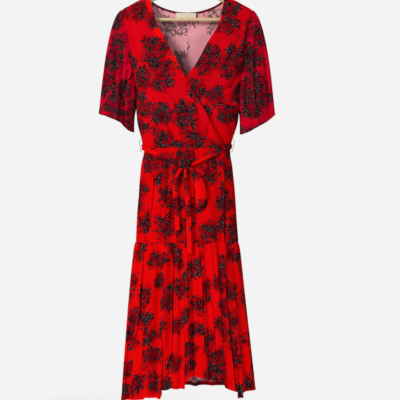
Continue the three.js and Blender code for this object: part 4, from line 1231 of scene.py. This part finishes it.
def fine_folds(share, drop, top, foot):
    """Narrower soft folds between the gathers: they wander down and each fades in and out."""
    turn = TAU * share
    down = (drop - top) / (foot - top)
    first = np.sin(38 * turn + 1.8 * np.sin(2.2 * down + 3 * turn) + 1.1 * np.sin(9 * turn))
    second = np.sin(61 * turn + 1.5 * np.sin(3.1 * down + 5 * turn + 1) + 0.8 * np.sin(13 * turn))
    come = np.clip(0.5 + 0.5 * np.sin(5 * turn + 4 * down), 0, 1)
    go = np.clip(0.5 + 0.5 * np.sin(8 * turn - 3 * down + 2), 0, 1)
    return 2.2 * first * come + 1.1 * second * go


def skirt_wall(name, node, gathers, face, shares, foot, under, columns, rows, shift):
    """A skirt panel between two shares of the girth: the body's surface with its gathers, folds,
    creases, puckers and pleats, laid out flat by the mean length along its rows and columns."""
    even = np.linspace(0, 1, rows)
    row = even - 0.09 * np.sin(TAU * even)  # closer together at the seam and at the foot
    u, v = np.meshgrid(crowded(columns, *shares(np.float64(CROWDING_DROP))), row)
    top = gathers[2]
    begin, end = shares(top + (gathers[3] - top) * v)
    share = begin + (end - begin) * u
    drop = top + (foot(share) - top) * v
    moved, lift = lay_pleats(share, drop)
    angle = angle_of_share(moved)
    tier = gathers is TIER_GATHERS
    puff = TIER_PUFF * smooth_step(drop, TIER_DROP - 4, TIER_DROP + 26) if tier else 0
    inset = lap_inset(angle, drop, smooth_rows(SKIRT_EDGE, drop)[0]) if under else 0
    dip = gather_dip(gathers, moved, drop) + fold_dip(moved, drop)
    x = body_point(face, angle, drop)[..., 0]
    around = GIRTH * share
    from_top, from_foot = drop - top, foot(share) - drop
    free = (end - share) * GIRTH if node.endswith("front_right") else NO_FREE_EDGE + 0 * share
    crease_drop = drop + (SKIRT_BACK_HIGHER if face == BACK else 0)
    small = fine_folds(moved, drop, top, gathers[3]) + 1.8 * creases(x, crease_drop, SKIRT_CREASES)
    small = small * smooth_step(from_top, 0, 40) * smooth_step(from_foot, -30, 20)
    sides = np.minimum(share % 0.5, 0.5 - share % 0.5) * GIRTH
    small = small * smooth_step(sides, 0, 14) * smooth_step(free, 0, 14)
    small += puckers(around, from_top, *(TIER_PUCKERS if tier else SKIRT_PUCKERS))
    small += groove(from_top) + groove(sides, 1.0)
    if tier:
        small += 0.5 * np.exp(-(((from_foot - HEM_ALLOWANCE) / 1.2) ** 2))
        flute = np.sin(TAU * around / 21 + np.sin(around / 37)) * np.sin(around / 90)
        small += 0.7 * flute * (1 - smooth_step(from_foot, 4, 30))
    else:
        small += puckers(around, from_foot, spacing=9.5, depth=0.9, reach=14) + groove(from_foot)
    tucked = 1 - smooth_step(from_top, 0, 2)
    grid = body_point(face, angle, drop, puff - inset - dip - small + lift - TUCK * tucked)
    grid[..., 2] += TUCK * tucked
    middle = body_point(face, angle_of_share(share), drop) * np.array([0, 0, 1])
    in_rows = run_lengths(grid, 1)
    over, down = in_rows.mean(0), run_lengths(grid, 0).mean(1)
    place = np.stack(np.meshgrid(over, -down), -1)
    if node.endswith("front_right"):
        free = in_rows[:, -1:] - in_rows
    finished = np.minimum(from_foot, free) if tier else free
    thickness = thickness_at(finished, HEM_ALLOWANCE - 1.5, HEM_ALLOWANCE + 1)
    tone = TIER_TONE if tier else SKIRT_TONE * smooth_step(from_top, 0, 110)
    normal = outward(grid, middle)
    stitch = finished - HEM_ALLOWANCE
    piece = cloth_wall(name, node, grid, normal, place, thickness, stitch, shift, tone=tone)
    declare_cut(grid)


def edge_share(drop):
    """The share of the girth at which the upper front ends, from the table of its edge."""
    return share_across(smooth_rows(SKIRT_EDGE, drop)[0], drop)


def tier_seam(share):
    """The foot of the skirt: one level drop all round."""
    return TIER_DROP + 0 * share


def hem_line(share):
    """The foot of the tier: straight lines between the rows of the hem."""
    return np.interp(share, HEM[:, 0], HEM[:, 1])


def over_shares(drop):
    """The upper front runs from the right side seam to its free edge."""
    return 0.5 + 0 * drop, edge_share(drop)


def under_shares(drop):
    """The lower front runs from under the upper one to the left side seam."""
    return UNDER_START + 0 * drop, 1.0 + 0 * drop


def back_shares(drop):
    """The back runs from the left side seam to the right one."""
    return 0 * drop, 0.5 + 0 * drop


SKIRT_PANELS = [
    # panel, face, its shares, whether it laps under, columns, place of the cut in the print
    ("skirt_front_right", FRONT, over_shares, False, 200, (0.32, 1.18)),
    ("skirt_front_left", FRONT, under_shares, True, 170, (3.36, 2.10)),
    ("skirt_back", BACK, back_shares, False, 260, (4.46, 0.91)),
]
for panel, face, shares, under, columns, shift in SKIRT_PANELS:
    skirt_wall(f"{panel}_cloth", panel, SKIRT_GATHERS, face, shares, tier_seam, under, columns, 80, shift)


# The tier: a deep ruffle of three panels gathered onto the foot of the skirt, with a turned and
# stitched hem that hangs unevenly where the folds draw it up.

TIER_PANELS = [
    # panel, face, its shares, whether it laps under, columns, place of the cut in the print
    ("tier_front_right", FRONT, over_shares, False, 320, (2.88, 0.56)),
    ("tier_front_left", FRONT, under_shares, True, 270, (2.29, 1.28)),
    ("tier_back", BACK, back_shares, False, 390, (6.72, 0.38)),
]
for panel, face, shares, under, columns, shift in TIER_PANELS:
    skirt_wall(f"{panel}_cloth", panel, TIER_GATHERS, face, shares, hem_line, under, columns, 100, shift)


# The belt: a strip of the same cloth sewn into a flat tube, carried round the waist through a
# thread loop at each side seam, and tied at the middle with one bow loop and two hanging ends.

BELT_WIDE = 14 / 17  # of the strip that shows, for it lies slightly rolled
BELT_STITCH = 1.8  # from each edge to its row of stitches
RIGHT_RUN = np.array([
    # across, drop, width, lift, bulge
    (-133.4, 562, 17, 3.6, 0),
    (-111, 574, 17, 3.6, 0),
    (-66, 592, 15, 4, 1),
    (-22.2, 609.5, 9, 9.4, 1),
], float)
LEFT_RUN = np.array([
    # across, drop, width, lift, bulge
    (12, 617, 9, 9.4, 1),
    (31, 608, 14, 5.5, 1),
    (82, 581, 16, 4, 0),
    (112, 562, 17, 3.8, 0),
    (131, 556, 17, 3.8, 0),
], float)
BOW = np.array([
    # drop, across, width, lift, bulge
    (625, 8.4, 8, 12.6, 1),
    (650, 24, 24, 13, 3),
    (685, 37, 32, 11, 5),
    (715, 39, 32, 9, 5),
    (742, 33, 18, 8, 2),
], float)
RIGHT_TAIL = np.array([
    # drop, across, width, lift, bulge
    (627.2, -17, 8, 10.6, 1),
    (655, -29, 14, 7, 2),
    (690, -33, 16, 6, 2),
    (780, -27, 17, 6, 2),
    (812, -26, 17, 6, 2),
], float)
LEFT_TAIL = np.array([
    # drop, across, width, lift, bulge
    (629.4, -4, 8, 10.6, 1),
    (680, -3, 15, 7, 2),
    (740, 4, 17, 6, 2),
    (850, 8, 17, 7, 2),
    (880, 9, 17, 9, 2),
], float)


def strip_grid(table, keyed_by_drop, along, aside, narrow=BELT_WIDE, slant=0.0):
    """A strip laid on the dress along a route: at each place along it the strip's side lies square
    to the route, over its width, and its middle stands out by the bulge. Slant cuts its end."""
    first, last = table[0, 0], table[-1, 0]
    place = first + (last - first) * along
    step = (last - first) * 0.01

    def line(at):
        found = smooth_rows(table, at)
        return (found[0], at) if keyed_by_drop else (at, found[0])

    before, after = line(place - step), line(place + step)
    here, (across, drop) = smooth_rows(table, place), line(place)
    ahead = np.stack([after[0] - before[0], after[1] - before[1]])
    ahead = ahead / np.linalg.norm(ahead, axis=0)
    side = here[1] * narrow * (aside - 0.5)
    past = slant * (aside - 0.5) * smooth_step(along, 0.9, 1)
    across = across - ahead[1] * side + ahead[0] * past
    drop = drop + ahead[0] * side + ahead[1] * past
    grid = body_point(FRONT, angle_across(across, drop), drop, here[2])
    grid[..., 1] -= here[3] * (1 - (2 * aside - 1) ** 2)
    return grid


def strip_piece(name, node, grid, thickness, shift, tone=-0.8, wobble=1.0):
    """A strip's wall, creased lengthwise by a few wandering folds and rolled thin at its edges."""
    rows, columns = grid.shape[:2]
    aside = np.broadcast_to(np.linspace(-1, 1, columns), (rows, columns))
    length = run_lengths(grid, 0).mean(1)[:, None]
    normal = outward(grid, grid * np.array([0, 0, 1]) + np.array([0, 0.001, 0]))
    first = np.exp(-(((aside - 0.35 * np.sin(length / 33) - 0.2) / 0.16) ** 2))
    second = np.exp(-(((aside + 0.4 + 0.3 * np.sin(length / 41 + 1)) / 0.14) ** 2))
    pinch = 1 + 1.2 * np.exp(-length / 14)
    dip = wobble * pinch * (0.9 * first + 0.7 * second) + 0.4 * wobble * np.sin(length / 6 + 2 * aside)
    grid = grid - normal * dip[..., None]
    across = run_lengths(grid, 1).mean(0)
    place = np.stack(np.meshgrid(across, -length[:, 0]), -1)
    thick = thickness * (0.3 + 0.7 * np.sqrt(1 - np.abs(aside) ** 5))
    edge = np.minimum(1 - np.abs(aside), 2) * across[-1] / 2
    normal = outward(grid, grid * np.array([0, 0, 1]))
    piece = cloth_wall(name, node, grid, normal, place, thick, edge - BELT_STITCH, shift,
                       finishes=[right_side, right_side], tone=tone)
    declare_cut(grid)


def belt_frame(columns, rows):
    """The places across and along a strip, from 0 to 1."""
    return np.meshgrid(np.linspace(0, 1, columns), np.linspace(0, 1, rows))


BELT_STRETCHES = [
    # piece, node, route, whether it hangs, rows, slant of its end, thickness, place on the print, tone
    ("belt_right_run_cloth", "belt_right_run", RIGHT_RUN, False, 90, 0, 2.0, (3.53, 0.89), -0.3),
    ("belt_left_run_cloth", "belt_left_run", LEFT_RUN, False, 90, 0, 2.0, (2.67, 0.97), -0.5),
    ("belt_right_tail_cloth", "belt_tail_right", RIGHT_TAIL, True, 110, 7, 1.8, (0.93, 0.21), -0.8),
    ("belt_left_tail_cloth", "belt_tail_left", LEFT_TAIL, True, 140, -7, 1.8, (1.38, 0.63), -0.8),
]
for piece_name, node, route, hangs, rows, slant, thickness, shift, tone in BELT_STRETCHES:
    aside, along = belt_frame(16, rows)
    stretch = strip_grid(route, hangs, along, aside if hangs else 1 - aside, slant=slant)
    strip_piece(piece_name, node, stretch, thickness, shift, tone)

# The run across the back, at one width from one thread loop to the other.
BACK_SIDE_DROP, BACK_DROP, BACK_LIFT = 560, 556, 3.4
BACK_RUN_WIDE = 15
BACK_RUN_START = 0.006  # the angle that it leaves free at each side seam
aside, along = belt_frame(16, 160)
angle = BACK_RUN_START + (np.pi - 2 * BACK_RUN_START) * along
drop = BACK_SIDE_DROP + (BACK_DROP - BACK_SIDE_DROP) * np.sin(angle) + BACK_RUN_WIDE * (aside - 0.5)
back_run = body_point(BACK, angle, drop, BACK_LIFT)
strip_piece("belt_back_run_cloth", "belt_back_run", back_run, 2.0, (1.91, 0.87))

# The bow loop: one strip that runs down from the knot and comes back up behind itself.
LOOP_APART = 2.3  # half the way between its two layers
aside, along = belt_frame(22, 150)
down = np.sin(np.pi * along) ** 0.8
loop_grid = strip_grid(BOW, True, np.minimum(down, 1), aside, narrow=0.94)
apart = LOOP_APART * smooth_step(np.minimum(along, 1 - along), -0.02, 0.12)
loop_grid[..., 1] -= apart * signed_power(np.cos(np.pi * along), 0.5)
loop_grid[..., 0] += 1.2 * np.sin(np.pi * along) * (along > 0.5)
strip_piece("belt_bow_loop_cloth", "belt_bow_loop", loop_grid, 1.1, (2.44, 0.42), wobble=0.35)

# The knot: an oval ball wrapped by a slanted turn of the belt, with grooves between the layers.
KNOT_CENTRE = (-5, 614, 10.6)  # across, drop, lift
KNOT_HALF = (18, 9, 15)
KNOT_SHIFT = (0.78, 1.18)  # place on the print, inside a spray
KNOT_SLOPE = math.radians(32)
KNOT_RINGS, KNOT_SIDES = 60, 96
KNOT_GROOVES = [
    # place, half-width, depth
    (-0.62, 0.05, 0.16),
    (-0.3, 0.04, 0.1),
    (0.02, 0.06, 0.2),
    (0.3, 0.04, 0.1),
    (0.6, 0.05, 0.15),
]
polar = np.pi * np.linspace(0.03, 0.97, KNOT_RINGS)[:, None]
turn = TAU * np.arange(KNOT_SIDES) / KNOT_SIDES
nose = np.stack([0 * turn - np.cos(polar), np.sin(polar) * np.cos(turn), np.sin(polar) * np.sin(turn)], -1)
wrapped = nose[..., 0] * math.cos(KNOT_SLOPE) + nose[..., 2] * math.sin(KNOT_SLOPE)
bent = wrapped + 0.12 * nose[..., 2] ** 2
valleys = sum(depth * np.exp(-(((bent - at) / wide) ** 2)) for at, wide, depth in KNOT_GROOVES)
swell = 1 + 0.05 * np.sin(7 * bent + 1) - valleys
knot_grid = signed_power(nose, 0.86) * swell[..., None] * np.array(KNOT_HALF)
across, drop, lift = KNOT_CENTRE
middle = body_point(FRONT, angle_across(across, drop), drop, lift)
tips = np.array([[-KNOT_HALF[0] * 0.97, 0, 0], [KNOT_HALF[0] * 0.97, 0, 0]])
knot_points = np.concatenate([knot_grid.reshape(-1, 3), tips]) + middle
knot_quads = tube_quads(KNOT_RINGS, KNOT_SIDES)
knot_uvs = (knot_points[:, [0, 2]] / 1000 + KNOT_SHIFT)[knot_quads]
knot = closed_mesh("belt_knot_cloth", knot_points, knot_quads, [right_side], None, knot_uvs, sharp=80)
# A tone of 1 crowds the knot's print and paints a crimson cast of light on its ground.
mark_points(knot, "tone", np.ones(len(knot_points)))
mark_points(knot, "stitch", np.ones(len(knot_points)))
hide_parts("belt_knot")


# The thread loops: a chain of dark red sewing thread at each side seam, worked by hand and sewn
# down at both ends, that stands off the dress so that the belt can pass through.

THREAD_DARK = (0.05, 0.001, 0.004, 1)
THREAD_RED = (0.16, 0.004, 0.012, 1)
THREAD_RADIUS = 0.65
CHAIN_STEP = 2.4
LOOP_LINE = np.array([
    # drop, how far off the side seam
    (536, 2.3),
    (544, 7.5),
    (557, 8.5),
    (571, 7.5),
    (577, 2.3),
], float)

thread, thread_shader, start = new_material("dark_red_thread")
place = start.node("ShaderNodeTexCoord", output=3)
twist = place.shift("MULTIPLY", (1.0, 1.0, 3.0)).noise(1300, 2)
feed(thread_shader, {
    "Base Color": twist.mix(THREAD_DARK, THREAD_RED),
    "Roughness": 0.75,
    "Normal": start.node("ShaderNodeBump", {"Strength": 0.5, "Distance": 0.0003, "Height": twist}),
    "Specular IOR Level": 0.1,
})
for side_name, side in (("right", -1), ("left", 1)):
    drop = np.linspace(LOOP_LINE[0, 0], LOOP_LINE[-1, 0], 140)
    off = smooth_rows(LOOP_LINE, drop)[0] + 0.22 * np.sin(TAU * drop / CHAIN_STEP)
    right, left = smooth_rows(SECTIONS, drop)[:2]
    reach = (right if side < 0 else left) + off
    path = np.stack([side * reach, 0.25 * np.cos(TAU * drop / CHAIN_STEP), -drop], 1)
    loop = closed_mesh(f"thread_loop_{side_name}_chain", *wire_tube(path, THREAD_RADIUS, 10), [thread])
    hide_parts(f"thread_loop_{side_name}")
